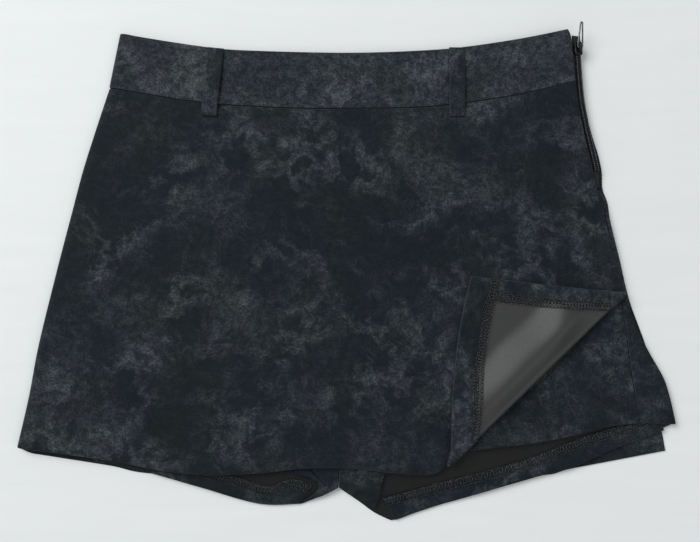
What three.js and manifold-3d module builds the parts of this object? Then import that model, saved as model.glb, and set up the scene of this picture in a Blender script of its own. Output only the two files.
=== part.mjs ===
// A mini skort in black brushed faux leather, laid out flat with its front up: a skirt front and back
// over built-in shorts, a waistband with two belt loops, and a coil zip down the wearer's left side.
// The front's lower corner is turned up and over, so that its reverse and its turned hems show.
// Millimetres. X runs across the garment, Y towards its waist and Z up from the table it rests on.
import * as THREE from 'three';
import { mergeVertices } from 'three/addons/utils/BufferGeometryUtils.js';
import Module from 'manifold-3d';

const wasm = await Module();
wasm.setup();

// Thicknesses of the cloth and the gaps between pieces.
const CLOTH = 1.2;
const WAISTBAND = 2.2;
const TURNED_HEM = 1;
const BELT_LOOP = 1.5;
const SEAM_GAP = 0.4;
const REST_GAP = 0.3;

// Heights of the undersides of the layers above the table, where the garment lies at its flattest.
const LEVEL = { shortsBack: 1.7, shortsFront: 4.6, skirtFront: 6.3, bandFront: 5.9 };

// The outline, as places that smooth lines run through, each line from left to right or downwards.
const WAIST_TOP = [[-182.5, 189], [-166, 185], [-107.5, 176], [-70, 173.5], [-6, 172], [42, 173], [87, 176],
  [138, 183.5], [176.4, 191.4]];
const WAIST_SEAM = [[-190.5, 144], [-157, 138], [-114, 131.5], [-53.5, 127.5], [2, 127], [66, 128.5],
  [129.5, 137], [181.8, 149]];
const BAND_LEFT = [[-182.5, 189], [-190.5, 144]];
const BACK_BAND_LOWER = 1.5;
const BACK_BAND_RIGHT = [[178.3, 184.5], [184.8, 165], [188.5, 149.5]];
const BAND_RIGHT = [[176.4, 191.4], [178.9, 185], [180.4, 167], [181.8, 149]];
const SKIRT_LEFT = [[-190.5, 144], [-200, 112.5], [-210, 78], [-218, 44.5], [-229, -2.5], [-241.5, -60],
  [-248, -100], [-256, -139]];
const FRONT_HEM = [[-256, -139], [-182.5, -149], [-147, -156], [-112.5, -159.5], [-87, -159.5], [-61, -157.8],
  [-34, -154.8], [2, -154.6], [34, -158], [54, -159.6], [68, -158.4]];
const ZIP_SIDE = [[181.8, 149], [183.4, 132], [186.3, 115], [188.6, 102.5], [191.1, 91], [193.8, 77.5],
  [196.8, 62], [204.7, 29.6], [212.2, 2]];
const BACK_RIGHT = [[188.5, 149.5], [190.8, 131], [193, 119.5], [196, 106.5], [200.5, 91], [203, 77],
  [203.2, 64], [207, 52.5], [209, 37.5], [215.5, 8], [222.5, -25], [235.5, -64.5], [240.5, -95.5],
  [247.5, -142]];
const BACK_HEM = [[-256, -139], [-247, -143.5], [-235.5, -145.5], [-184, -153.5], [-151.5, -159.5],
  [-60, -163], [60, -163], [149, -161], [175.5, -155.5], [247.5, -142]];

// The shorts: a centre seam down to the crotch, an inseam down each leg, and the legs' hems.
const CENTRE_X = -6.5;
const CROTCH = [CENTRE_X, -170];
const SHORTS_TOP = 126;
const SHORTS_TOP_LEFT = [[-157, 137], [-114, 130.5], [-53.5, 126.5]];
const SHORTS_TOP_RIGHT = [[66, 127.5], [129.5, 136]];
const RIGHT_TIP = [34, -195.5];
const RIGHT_FRONT_TIP = [21.5, -186.5];
const LEFT_TIP = [-36, -183];
const LEFT_FRONT_TIP = [-34, -180.5];
const RIGHT_INSEAM = [[10, -181.7], [21.5, -189.8]];
const RIGHT_FRONT_INSEAM = [[8, -179.4]];
const LEFT_INSEAM = [[-19, -176.4]];
const SHORTS_LEFT_SIDE = [[-180, 141], [-200, 78], [-208, 44.5], [-219, -2.5], [-231.5, -60], [-238, -100],
  [-242, -126]];
const SHORTS_RIGHT_SIDE = [[176, 146], [184, 120], [188.5, 97.5], [192.5, 71.5], [194, 64]];
const LEG_SEAM = [[215.5, -34], [220.5, -77.5], [226.5, -120.5]];
const RIGHT_FRONT_LEG_HEM = [[201, -123.5], [176, -129.5], [151, -135], [125, -137.5], [97, -138], [72, -143],
  [46, -148.5]];
const RIGHT_LOBE = [[46, -148.5], [33, -155.5], [28, -163], [24.5, -177], RIGHT_FRONT_TIP];
const RIGHT_BACK_LEG_HEM = [[206, -140.5], [175.5, -154], [149, -161], [103, -174], [64, -185.5],
  [41, -194], RIGHT_TIP];
const LEFT_FRONT_LEG_HEM = [[-242, -126], [-140, -146], [-60, -147], [-30, -152]];
const LEFT_LOBE = [[-30, -152], [-24, -161], [-22.5, -169.5], [-27, -176], LEFT_FRONT_TIP];
const LEFT_BACK_LEG_HEM = [[-242, -126], [-200, -146], [-151.5, -159.5], [-110, -171.2], [-74, -181.6],
  [-64, -183.2], LEFT_TIP];

// The cloth eases down to its edges over these lengths. The left side leans, so that the way in from
// it is a little shorter than the way across.
const SIDE_ROLL = 7;
const SIDE_LEAN = 0.97;
const HEM_DROP = { after: 8, over: 12 };
const INSEAM_PINCH = 10;

// The corner of the skirt front turned up and over: the line it folds on, as it shows from above,
// its loosest radius, and the places where its corner and its two edges come to lie.
const CORNER_FOLD = { from: [217.5, -20.5], to: [77.5, -153.7], tight: 1.3, loose: 3.6, settle: 30 };
const CORNER_LIES = [96.5, -6.5];
const CORNER_HEM = [[89, -37.5], [83.5, -72], [80.5, -106.5], [79, -138]];
const CORNER_SIDE = [[135, -11.2], [175, -16]];
const LYING = CLOTH + 0.5;

// The turned hems on the corner, 19 mm wide along the skirt's hem and 14 mm along its side: where
// their edges come to lie, and the share of the fold line where each edge meets it.
const TURNUPS = [
  {
    name: 'skirt_hem_turnup',
    left: { lies: [[115.6, -9.3], [108, -42], [102.7, -74], [99.8, -107]], meets: 0.843 },
    right: { lies: [[96.9, -7], [89.3, -37.5], [83.8, -72], [80.8, -106.5], [79.3, -138]], meets: 0.99 },
  },
  {
    name: 'skirt_side_turnup',
    left: { lies: [[116.3, -9.3], [135, -11.5], [175, -16.3]], meets: 0.01 },
    right: { lies: [[113, -23.3], [134, -25.6], [173, -30]], meets: 0.09 },
  },
];

// The back leg wraps over its outer fold to the seam with the front leg. The fold leaves its straight
// line by these distances inwards, each at a share of its length.
const LEG_FOLD = { from: [202.5, 58], to: [255, -121],
  bow: [[0, 0], [0.2, 2.2], [0.42, 6], [0.57, 7], [0.7, 2.6], [0.83, -2], [1, 0]] };

// The turned hem bands inside the back legs, as far as they show, by their two long edges.
const LEG_BANDS = [
  {
    name: 'leg_hem_left',
    upper: [[-148, -147], [-87, -162], [-61, -169.5], [-43.5, -164], [-27, -168.5]],
    lower: [[-151.5, -159.2], [-110, -170.7], [-68, -182.7], [-37.5, -182.7]],
  },
  {
    name: 'leg_hem_right',
    upper: [[28.5, -178], [64, -168.5], [103, -159], [141.5, -148], [176, -134.5], [212, -123],
      [240, -113]],
    lower: [[37, -195], [64, -185.8], [103, -174.3], [149, -161.3], [175.5, -154.3], [206, -140.8],
      [238, -129.5], [246, -126]],
  },
];

// Low swells of the cloth, which lift every layer by a share of its height.
const SWELLS = [
  { x: -120, y: 40, long: 95, wide: 45, turn: -35, rise: 0.2 },
  { x: -175, y: -70, long: 70, wide: 26, turn: 70, rise: 0.17 },
  { x: 30, y: 55, long: 110, wide: 34, turn: 12, rise: 0.14 },
  { x: -55, y: -75, long: 80, wide: 40, turn: 50, rise: 0.2 },
  { x: 55, y: -95, long: 60, wide: 24, turn: 62, rise: 0.12 },
  { x: 145, y: 15, long: 70, wide: 28, turn: 40, rise: 0.16 },
  { x: -105, y: -135, long: 34, wide: 18, turn: 80, rise: 0.15 },
];

// Belt loops: the middle of the upper end and of the lower end, and how far the middle stands off.
const LOOP_WIDTH = 12.2;
const LOOP_BOW = 1.2;
const LOOP_STEP = 0.5;
const LOOP_PAST_SEAM = 0.84;
const BELT_LOOPS = [
  { name: 'belt_loop_left', top: [-104.3, 175.2], bottom: [-109.6, 120.5] },
  { name: 'belt_loop_right', top: [87.2, 175.6], bottom: [87, 120] },
];

// The zip: the line of its coil, its lean to the side, and its own sections.
const ZIP_LINE = [[183.7, 186.5], [183.6, 177], [184, 168], [184.9, 149], [186.3, 132.4], [189.1, 115.5],
  [191.5, 103], [194, 91.5], [196.8, 77.6], [198.4, 64]];
const ZIP_LEAN = THREE.MathUtils.degToRad(15);
const ZIP_HEIGHT = 4.1;
const TAPE = { width: 7, thickness: 1, top: 0, end: 1, narrows: 0.6 };
const CHAIN = { width: 4.8, thickness: 2, top: 0.055, end: 0.9, narrows: 0 };
const NARROWS_FROM = 0.82;
const SLIDER = { place: 0.09, length: 11, width: 6.8, corner: 1.6, plate: 1.1, flange: 0.7, flangeFoot: 1.1,
  flangeLength: 7.6, bridge: 2, bridgeReach: 3.4, bridgeTop: 7.5 };
const HINGE = { height: 5.8, hole: 1.1 };
const PULL = { length: 20, width: 5.4, tip: 3.2, slot: 3.1, tipSlot: 1.4, end: 1.4, thickness: 1.2,
  raised: 12 };
const JOINED = 0.2;

// The steps that each piece is cut into, down and across. The narrow ones, as shares of the way
// across, are where an edge curls.
const STEPS = {
  skirtBack: { down: 12, across: 20 },
  skirtFront: { down: 10, across: 19, narrow: [0.004, 0.009, 0.0155, 0.03] },
  corner: { side: 8, hem: 10, across: 5, narrow: [0.07, 0.16, 0.28] },
  turnup: { along: 14, intoRoll: 4, across: 3 },
  shorts: { centre: 17, inseam: 6, leg: 8, hem: 5, lobe: 4, across: 9, wrap: 3 },
  legBand: { down: 3, across: 18 },
  bandBack: { down: 3, across: 22 },
  bandFront: { down: 4, across: 24, narrow: [0.005, 0.011, 0.019, 0.035] },
  beltLoop: { down: 12, across: 3 },
  bow: 60,
  zip: 16,
  coil: 5,
  roll: 6,
  arc: 3,
};

const FINISH = {
  cloth: { color: '#24262c', roughness: 0.82, metalness: 0 },
  tape: { color: '#17181a', roughness: 0.9, metalness: 0 },
  coil: { color: '#2c2e31', roughness: 0.5, metalness: 0 },
  metal: { color: '#3a3b3e', roughness: 0.32, metalness: 0.9 },
};

const garment = new THREE.Group();

function addPiece(name, geometry, finish) {
  const piece = new THREE.Mesh(geometry, new THREE.MeshStandardMaterial(FINISH[finish]));
  piece.name = name;
  garment.add(piece);
  return piece;
}

// Steps round a fold, short of its end.
const ROLL_ANGLES = Array.from({ length: STEPS.roll }, (_, step) => (step / STEPS.roll) * Math.PI);

const flat = ([x, y]) => new THREE.Vector2(x, y);
const mix = THREE.MathUtils.lerp;
const ease = (share) => THREE.MathUtils.smoothstep(share, 0, 1);

// Equal steps from 0 to 1, after a few narrow ones where an edge curls.
function shares(steps, narrow = []) {
  const last = narrow.length ? narrow[narrow.length - 1] : 0;
  const even = Array.from({ length: steps + 1 }, (_, step) => mix(last, 1, step / steps));
  return [...(narrow.length ? [0] : []), ...narrow.slice(0, -1), ...even];
}

// An edge as a row of points: smooth runs, cut into steps, that join at corners.
function rail(...runs) {
  const points = [];
  for (const { steps, through } of runs) {
    const line = new THREE.SplineCurve(through.map((place) => (place.isVector2 ? place : flat(place))));
    points.push(...line.getSpacedPoints(steps).slice(points.length ? 1 : 0));
  }
  return points;
}

// A grid of points between a left and a right rail. Its first and last rows follow their own lines.
function net({ left, right, across, top, bottom }) {
  const last = left.length - 1;
  const topLine = top && new THREE.SplineCurve([left[0], ...top.map(flat), right[0]]);
  const bottomLine = bottom && new THREE.SplineCurve([left[last], ...bottom.map(flat), right[last]]);
  return left.map((start, row) => across.map((share) => {
    const point = start.clone().lerp(right[row], share);
    const down = row / last;
    if (topLine) {
      const bend = topLine.getPointAt(share).sub(left[0].clone().lerp(right[0], share));
      point.addScaledVector(bend, 1 - down);
    }
    if (bottomLine) {
      const bend = bottomLine.getPointAt(share).sub(left[last].clone().lerp(right[last], share));
      point.addScaledVector(bend, down);
    }
    return point;
  }));
}

// Triangles over one or more grids, which are sewn together where they have points in common.
function cut(...grids) {
  const points = [];
  const triangles = [];
  const known = new Map();
  const indexOf = (point) => {
    const key = `${Math.round(point.x * 1000)} ${Math.round(point.y * 1000)}`;
    if (!known.has(key)) {
      known.set(key, points.push(point) - 1);
    }
    return known.get(key);
  };
  const add = (...corners) => {
    if (new Set(corners).size === 3) {
      triangles.push(corners);
    }
  };
  for (const grid of grids) {
    for (let row = 0; row + 1 < grid.length; row += 1) {
      for (let column = 0; column + 1 < grid[row].length; column += 1) {
        const [a, b] = [grid[row][column], grid[row][column + 1]].map(indexOf);
        const [c, d] = [grid[row + 1][column], grid[row + 1][column + 1]].map(indexOf);
        add(a, c, d);
        add(a, d, b);
      }
    }
  }
  return { points, triangles };
}

// The way a laid surface faces at a point of its flat pattern.
function facing(place, x, y) {
  const nudge = 0.02;
  const across = place(x + nudge, y).sub(place(x - nudge, y));
  const along = place(x, y + nudge).sub(place(x, y - nudge));
  return across.cross(along).normalize();
}

// A wall of cloth round the laid pattern: a face on either side of it and a rim along its open edges.
// Offset moves the whole wall off the laid surface, towards the face side if positive.
function wall({ points, triangles }, place, thickness, offset = 0) {
  const count = points.length;
  const positions = [];
  for (const side of [thickness / 2, -thickness / 2]) {
    for (const { x, y } of points) {
      positions.push(...place(x, y).addScaledVector(facing(place, x, y), side + offset));
    }
  }
  const faces = [];
  const edges = new Set();
  for (const [a, b, c] of triangles) {
    faces.push(a, b, c, count + a, count + c, count + b);
    edges.add(`${a} ${b}`).add(`${b} ${c}`).add(`${c} ${a}`);
  }
  for (const edge of edges) {
    const [a, b] = edge.split(' ').map(Number);
    if (!edges.has(`${b} ${a}`)) {
      faces.push(b, a, count + a, b, count + a, count + b);
    }
  }
  const geometry = new THREE.BufferGeometry();
  geometry.setAttribute('position', new THREE.Float32BufferAttribute(positions, 3));
  geometry.setIndex(faces);
  geometry.computeVertexNormals();
  return geometry;
}

// How much higher the layers lie over a place than at their flattest.
function loft(x, y) {
  let total = 1;
  for (const swell of SWELLS) {
    const turn = THREE.MathUtils.degToRad(swell.turn);
    const along = (x - swell.x) * Math.cos(turn) + (y - swell.y) * Math.sin(turn);
    const across = (y - swell.y) * Math.cos(turn) - (x - swell.x) * Math.sin(turn);
    total += swell.rise * Math.exp(-((along / swell.long) ** 2) - (across / swell.wide) ** 2);
  }
  return total;
}

// Reads one coordinate of an edge where the other has the given value.
function readEdge(points, given, wanted, value) {
  const next = points.findIndex((point, index) => index > 0
    && (point[given] - value) * (points[index - 1][given] - value) <= 0);
  if (next < 0) {
    const near = (point) => Math.abs(point[given] - value);
    return points.reduce((best, point) => (near(point) < near(best) ? point : best))[wanted];
  }
  const [before, after] = [points[next - 1], points[next]];
  return mix(before[wanted], after[wanted], (value - before[given]) / (after[given] - before[given] || 1));
}

const leftOutline = rail({ steps: 8, through: BAND_LEFT }, { steps: 40, through: SKIRT_LEFT });
const backHemLine = rail({ steps: 60, through: BACK_HEM });
const fromLeft = (x, y) => SIDE_LEAN * (x - readEdge(leftOutline, 'y', 'x', y));
const pastBackHem = (x, y) => readEdge(backHemLine, 'x', 'y', x) - y;

// Curls the left edge of an upper layer down onto the margin of the layer that lies on the table.
function rollLeft(x, y, middle, foot, thickness) {
  const inside = fromLeft(x, y);
  if (inside >= SIDE_ROLL) {
    return new THREE.Vector3(x, y, middle);
  }
  const angle = (inside / SIDE_ROLL) * (Math.PI / 2);
  const reach = thickness / 2 + (SIDE_ROLL - thickness / 2) * (1 - Math.cos(angle));
  return new THREE.Vector3(x + reach - inside, y, mix(foot, middle, Math.sin(angle)));
}

// A fold that turns cloth up and back over a line: out points away from the part that stays put.
function turnOver({ from, to, radius, inset }) {
  const start = flat(from);
  const length = start.distanceTo(flat(to));
  const along = flat(to).sub(start).normalize();
  const out = new THREE.Vector2(-along.y, along.x);
  const shareOf = (x, y) => THREE.MathUtils.clamp((x - start.x) * along.x / length
    + (y - start.y) * along.y / length, 0, 1);
  const line = (share, past = 0) => start.clone().addScaledVector(along, share * length)
    .addScaledVector(out, past - inset(share));
  const pastLine = (x, y) => (x - start.x) * out.x + (y - start.y) * out.y + inset(shareOf(x, y));
  return {
    line,
    shareOf,
    rolled: (share, angle) => line(share, radius(share) * angle),
    // Where the flat pattern has a point that lies at x, y once it is turned over.
    flatten({ x, y }) {
      const beyond = Math.PI * radius(shareOf(x, y)) - 2 * pastLine(x, y);
      return new THREE.Vector2(x, y).addScaledVector(out, beyond);
    },
    // Where a point of the flat pattern comes to lie, its rise, and how far past the roll it is.
    lay(x, y) {
      const past = pastLine(x, y);
      const bend = radius(shareOf(x, y));
      const angle = THREE.MathUtils.clamp(past / bend, 0, Math.PI);
      const over = past > 0 ? past - bend * angle : 0;
      const reach = past > 0 ? bend * Math.sin(angle) - over : past;
      return {
        at: new THREE.Vector2(x, y).addScaledVector(out, reach - past),
        rise: bend * (1 - Math.cos(angle)),
        over,
      };
    },
  };
}

// The layers' middle surfaces over the flat pattern.
const backMiddle = (x, y) => new THREE.Vector3(x, y, CLOTH / 2);

function shortsBackHeight(x, y) {
  const level = LEVEL.shortsBack * loft(x, y);
  return CLOTH / 2 + level * (1 - ease((pastBackHem(x, y) - HEM_DROP.after) / HEM_DROP.over));
}

function fromInseams(x, y) {
  const distances = [RIGHT_TIP, LEFT_TIP].map((tip) => {
    const inseam = new THREE.Line3(new THREE.Vector3(...CROTCH, 0), new THREE.Vector3(...tip, 0));
    const point = new THREE.Vector3(x, y, 0);
    return inseam.closestPointToPoint(point, true, new THREE.Vector3()).distanceTo(point);
  });
  return Math.min(...distances);
}

function shortsFrontHeight(x, y) {
  const apart = (LEVEL.shortsFront - LEVEL.shortsBack) * loft(x, y);
  const closed = CLOTH + REST_GAP;
  return shortsBackHeight(x, y) + mix(closed, apart, ease(fromInseams(x, y) / INSEAM_PINCH));
}

const legBend = (LEVEL.shortsFront - LEVEL.shortsBack) / 2;
const legBow = rail({ steps: STEPS.bow, through: LEG_FOLD.bow });
const legFold = turnOver({
  from: LEG_FOLD.from,
  to: LEG_FOLD.to,
  radius: () => legBend,
  inset: (share) => legBend + CLOTH / 2 + readEdge(legBow, 'x', 'y', share),
});

function layShortsBack(x, y) {
  const { at, rise } = legFold.lay(x, y);
  const level = shortsBackHeight(at.x, at.y);
  const apart = shortsFrontHeight(at.x, at.y) - level;
  return new THREE.Vector3(at.x, at.y, level + (rise / (2 * legBend)) * apart);
}

const layShortsFront = (x, y) => new THREE.Vector3(x, y, shortsFrontHeight(x, y));

const cornerBend = (share) => mix(CORNER_FOLD.tight, CORNER_FOLD.loose, Math.sin(Math.PI * share));
const cornerFold = turnOver({
  from: CORNER_FOLD.from,
  to: CORNER_FOLD.to,
  radius: cornerBend,
  inset: (share) => cornerBend(share) + CLOTH / 2,
});

function laySkirtFront(x, y) {
  const { at, rise, over } = cornerFold.lay(x, y);
  const middle = LEVEL.skirtFront * loft(at.x, at.y) + CLOTH / 2;
  const settled = rise - (rise - LYING) * ease(over / CORNER_FOLD.settle);
  return rollLeft(at.x, at.y, middle + (over > 0 ? settled : rise), CLOTH + REST_GAP, CLOTH);
}

const bandFrontHeight = (x, y) => LEVEL.bandFront * loft(x, y) + WAISTBAND / 2;

function layBandFront(x, y) {
  return rollLeft(x, y, bandFrontHeight(x, y), WAISTBAND + REST_GAP, WAISTBAND);
}

// Skirt back and front, cut from the waist seam to the hem. The seam gap stays open above them.
const belowSeam = (places) => places.map(([x, y]) => [x, y - SEAM_GAP]);
const inner = (places) => places.slice(1, -1);

const skirtBackCut = cut(net({
  left: rail({ steps: STEPS.skirtBack.down, through: belowSeam(SKIRT_LEFT) }),
  right: rail({ steps: STEPS.skirtBack.down, through: belowSeam(BACK_RIGHT) }),
  across: shares(STEPS.skirtBack.across),
  top: inner(belowSeam(WAIST_SEAM)),
  bottom: inner(belowSeam(BACK_HEM)),
}));
addPiece('skirt_back', wall(skirtBackCut, backMiddle, CLOTH), 'cloth');

const cornerRows = STEPS.corner.side + STEPS.corner.hem;
const foldRows = shares(cornerRows);
const foldLine = foldRows.map((share) => cornerFold.line(share));
const frontRight = rail({ steps: STEPS.skirtFront.down, through: [...belowSeam(ZIP_SIDE), foldLine[0]] });
frontRight.push(...foldLine.slice(1));
const frontNet = net({
  left: rail({ steps: STEPS.skirtFront.down + cornerRows, through: belowSeam(SKIRT_LEFT) }),
  right: frontRight,
  across: shares(STEPS.skirtFront.across, STEPS.skirtFront.narrow),
  top: inner(belowSeam(WAIST_SEAM)),
  bottom: FRONT_HEM.slice(1),
});

// The turned corner: over the roll and on to its own edges, which meet at the corner's point.
const rollEnd = (share) => {
  const { at } = cornerFold.lay(...cornerFold.rolled(share, Math.PI));
  return at;
};
const cornerEdge = rail(
  { steps: STEPS.corner.side, through: [rollEnd(0), ...CORNER_SIDE.toReversed(), CORNER_LIES] },
  { steps: STEPS.corner.hem, through: [CORNER_LIES, ...CORNER_HEM, rollEnd(1)] },
);
const cornerSteps = shares(STEPS.corner.across, STEPS.corner.narrow);
const cornerNet = foldRows.map((share, row) => [
  ...ROLL_ANGLES.map((angle) => cornerFold.rolled(share, angle)),
  ...cornerSteps.map((step) => cornerFold.flatten(rollEnd(share).lerp(cornerEdge[row], step))),
]);
addPiece('skirt_front', wall(cut(frontNet, cornerNet), laySkirtFront, CLOTH), 'cloth');

// The corner's turned hems lie on its reverse, from the middle of the roll to the corner's edges.
const onReverse = -(CLOTH / 2 + REST_GAP + TURNED_HEM / 2);

for (const { name, left, right } of TURNUPS) {
  const edge = ({ lies, meets }) => {
    const lying = lies.map((place) => cornerFold.flatten(flat(place)));
    const rollFoot = cornerFold.rolled(meets, Math.PI);
    return rail(
      { steps: STEPS.turnup.along, through: [...lying, rollFoot] },
      { steps: STEPS.turnup.intoRoll, through: [rollFoot, cornerFold.rolled(meets, Math.PI / 2)] },
    );
  };
  const strip = net({ left: edge(left), right: edge(right), across: shares(STEPS.turnup.across) });
  addPiece(name, wall(cut(strip), laySkirtFront, TURNED_HEM, onReverse), 'cloth');
}

// The shorts' four quarters meet at the centre seam and along the inseams.
const { centre, inseam, leg, hem, lobe } = STEPS.shorts;
const sideRows = centre + inseam - leg - hem - lobe;
const quarterAcross = shares(STEPS.shorts.across);

function innerEdge(offset, legInseam, tip) {
  const crotch = [CENTRE_X + offset, CROTCH[1]];
  return rail(
    { steps: centre, through: [[CENTRE_X + offset, SHORTS_TOP], crotch] },
    { steps: inseam, through: [crotch, ...legInseam, tip] },
  );
}

const legRows = shares(leg);
const legLine = legRows.map((share) => legFold.line(share));
const legRollEnd = (share) => legFold.lay(...legFold.rolled(share, Math.PI)).at;
const seamTop = legRollEnd(0);

function legSeam(offset) {
  const places = LEG_SEAM.map(([x, y]) => [x + offset, y]);
  return rail({ steps: leg, through: [[seamTop.x + offset / 2, seamTop.y], ...places] });
}

const backLeft = net({
  left: rail(
    { steps: sideRows + leg, through: SHORTS_LEFT_SIDE },
    { steps: hem + lobe, through: LEFT_BACK_LEG_HEM },
  ),
  right: innerEdge(-SEAM_GAP / 2, LEFT_INSEAM, LEFT_TIP),
  across: quarterAcross,
  top: SHORTS_TOP_LEFT,
});
addPiece('shorts_back_left', wall(cut(backLeft), layShortsBack, CLOTH), 'cloth');

const backRight = net({
  left: innerEdge(SEAM_GAP / 2, RIGHT_INSEAM, RIGHT_TIP),
  right: [
    ...rail({ steps: sideRows - 1, through: SHORTS_RIGHT_SIDE }),
    ...legLine,
    ...rail({ steps: hem + lobe, through: [legLine[leg], ...RIGHT_BACK_LEG_HEM] }).slice(1),
  ],
  across: quarterAcross,
  top: SHORTS_TOP_RIGHT,
});
const wrapEdge = legSeam(SEAM_GAP / 2);
const wrap = legRows.map((share, row) => [
  ...ROLL_ANGLES.map((angle) => legFold.rolled(share, angle)),
  ...shares(STEPS.shorts.wrap).map((step) => legFold.flatten(legRollEnd(share).lerp(wrapEdge[row], step))),
]);
addPiece('shorts_back_right', wall(cut(backRight, wrap), layShortsBack, CLOTH), 'cloth');

const frontLeft = net({
  left: rail(
    { steps: sideRows + leg, through: SHORTS_LEFT_SIDE },
    { steps: hem, through: LEFT_FRONT_LEG_HEM },
    { steps: lobe, through: LEFT_LOBE },
  ),
  right: innerEdge(-SEAM_GAP / 2, LEFT_INSEAM, LEFT_FRONT_TIP),
  across: quarterAcross,
  top: SHORTS_TOP_LEFT,
});
addPiece('shorts_front_left', wall(cut(frontLeft), layShortsFront, CLOTH), 'cloth');

const frontSeam = legSeam(-SEAM_GAP / 2);
const frontRightLeg = net({
  left: innerEdge(SEAM_GAP / 2, RIGHT_FRONT_INSEAM, RIGHT_FRONT_TIP),
  right: [
    ...rail({ steps: sideRows - 1, through: SHORTS_RIGHT_SIDE }),
    ...frontSeam,
    ...rail(
      { steps: hem, through: [frontSeam[leg], ...RIGHT_FRONT_LEG_HEM] },
      { steps: lobe, through: RIGHT_LOBE },
    ).slice(1),
  ],
  across: quarterAcross,
  top: SHORTS_TOP_RIGHT,
});
addPiece('shorts_front_right', wall(cut(frontRightLeg), layShortsFront, CLOTH), 'cloth');

// The turned hem bands that show inside the back legs lie on them.
const onBackLeg = CLOTH / 2 + REST_GAP + TURNED_HEM / 2;
const layBand = (x, y) => new THREE.Vector3(x, y, shortsBackHeight(x, y));

for (const { name, upper, lower } of LEG_BANDS) {
  const band = net({
    left: rail({ steps: STEPS.legBand.down, through: [upper[0], lower[0]] }),
    right: rail({ steps: STEPS.legBand.down, through: [upper.at(-1), lower.at(-1)] }),
    across: shares(STEPS.legBand.across),
    top: inner(upper),
    bottom: inner(lower),
  });
  addPiece(name, wall(cut(band), layBand, TURNED_HEM, onBackLeg), 'cloth');
}

// The waistband's back lies flat under its front, which rolls down on it at the left.
const lowered = (places) => places.map(([x, y]) => [x, y - BACK_BAND_LOWER]);
const bandBack = net({
  left: rail({ steps: STEPS.bandBack.down, through: [lowered(BAND_LEFT)[0], BAND_LEFT[1]] }),
  right: rail({ steps: STEPS.bandBack.down, through: BACK_BAND_RIGHT }),
  across: shares(STEPS.bandBack.across),
  top: inner(lowered(WAIST_TOP)),
  bottom: inner(WAIST_SEAM),
});
const layBandBack = (x, y) => new THREE.Vector3(x, y, WAISTBAND / 2);
addPiece('waistband_back', wall(cut(bandBack), layBandBack, WAISTBAND), 'cloth');

const bandFront = net({
  left: rail({ steps: STEPS.bandFront.down, through: BAND_LEFT }),
  right: rail({ steps: STEPS.bandFront.down, through: BAND_RIGHT }),
  across: shares(STEPS.bandFront.across, STEPS.bandFront.narrow),
  top: inner(WAIST_TOP),
  bottom: inner(WAIST_SEAM),
});
addPiece('waistband_front', wall(cut(bandFront), layBandFront, WAISTBAND), 'cloth');

// Belt loops stand off the waistband in the middle and end on the skirt front, just past the seam.
for (const { name, top, bottom } of BELT_LOOPS) {
  const [start, end] = [flat(top), flat(bottom)];
  const run = end.clone().sub(start);
  const aside = new THREE.Vector2(run.y, -run.x).setLength(LOOP_WIDTH / 2);
  const side = (edge) => rail({
    steps: STEPS.beltLoop.down,
    through: [start.clone().addScaledVector(aside, edge), end.clone().addScaledVector(aside, edge)],
  });
  const layLoop = (x, y) => {
    const down = new THREE.Vector2(x, y).sub(start).dot(run) / run.lengthSq();
    const standing = REST_GAP + BELT_LOOP / 2 + LOOP_BOW * Math.sin(Math.PI * down);
    const step = LOOP_STEP * ease((down - LOOP_PAST_SEAM) / (1 - LOOP_PAST_SEAM));
    return new THREE.Vector3(x, y, bandFrontHeight(x, y) + WAISTBAND / 2 + standing - step);
  };
  const loop = net({ left: side(1), right: side(-1), across: shares(STEPS.beltLoop.across) });
  addPiece(name, wall(cut(loop), layLoop, BELT_LOOP), 'cloth');
}

// The zip leans outwards between the garment's front and back edges. Its frame at a share of its
// length has the way across it, the way up it towards the waist, and the way that it faces.
const zipLine = new THREE.SplineCurve(ZIP_LINE.map(flat));

function zipFrame(share) {
  const place = zipLine.getPointAt(share);
  const down = zipLine.getTangentAt(share);
  const up = new THREE.Vector3(-down.x, -down.y, 0);
  const level = new THREE.Vector3(up.y, -up.x, 0);
  const side = level.clone().multiplyScalar(Math.cos(ZIP_LEAN)).setZ(-Math.sin(ZIP_LEAN));
  const face = level.clone().multiplyScalar(Math.sin(ZIP_LEAN)).setZ(Math.cos(ZIP_LEAN));
  return new THREE.Matrix4().makeBasis(side, up, face).setPosition(place.x, place.y, ZIP_HEIGHT);
}

// Carries a section, drawn across and off the tape, along a stretch of the zip. It may narrow at its
// lower end.
function alongZip(section, { top, end, narrows }) {
  const steps = STEPS.zip;
  const rings = shares(steps).map((share) => {
    const frame = zipFrame(mix(top, end, share));
    const wide = 1 - narrows * ease((share - NARROWS_FROM) / (1 - NARROWS_FROM));
    return section.map(({ x, y }) => new THREE.Vector3(x * wide, 0, y).applyMatrix4(frame));
  });
  const count = section.length;
  const faces = [];
  for (let ring = 0; ring < steps; ring += 1) {
    for (let corner = 0; corner < count; corner += 1) {
      const a = ring * count + corner;
      const b = ring * count + (corner + 1) % count;
      faces.push(a, b, b + count, a, b + count, a + count);
    }
  }
  for (const [a, b, c] of THREE.ShapeUtils.triangulateShape(section, [])) {
    const last = steps * count;
    faces.push(c, b, a, last + a, last + b, last + c);
  }
  const geometry = new THREE.BufferGeometry().setFromPoints(rings.flat());
  geometry.setIndex(faces);
  geometry.computeVertexNormals();
  return geometry;
}

const tapeSection = [[-1, -1], [1, -1], [1, 1], [-1, 1]]
  .map(([x, y]) => new THREE.Vector2((x * TAPE.width) / 2, (y * TAPE.thickness) / 2));
addPiece('zip_tape', alongZip(tapeSection, TAPE), 'tape');

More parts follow.
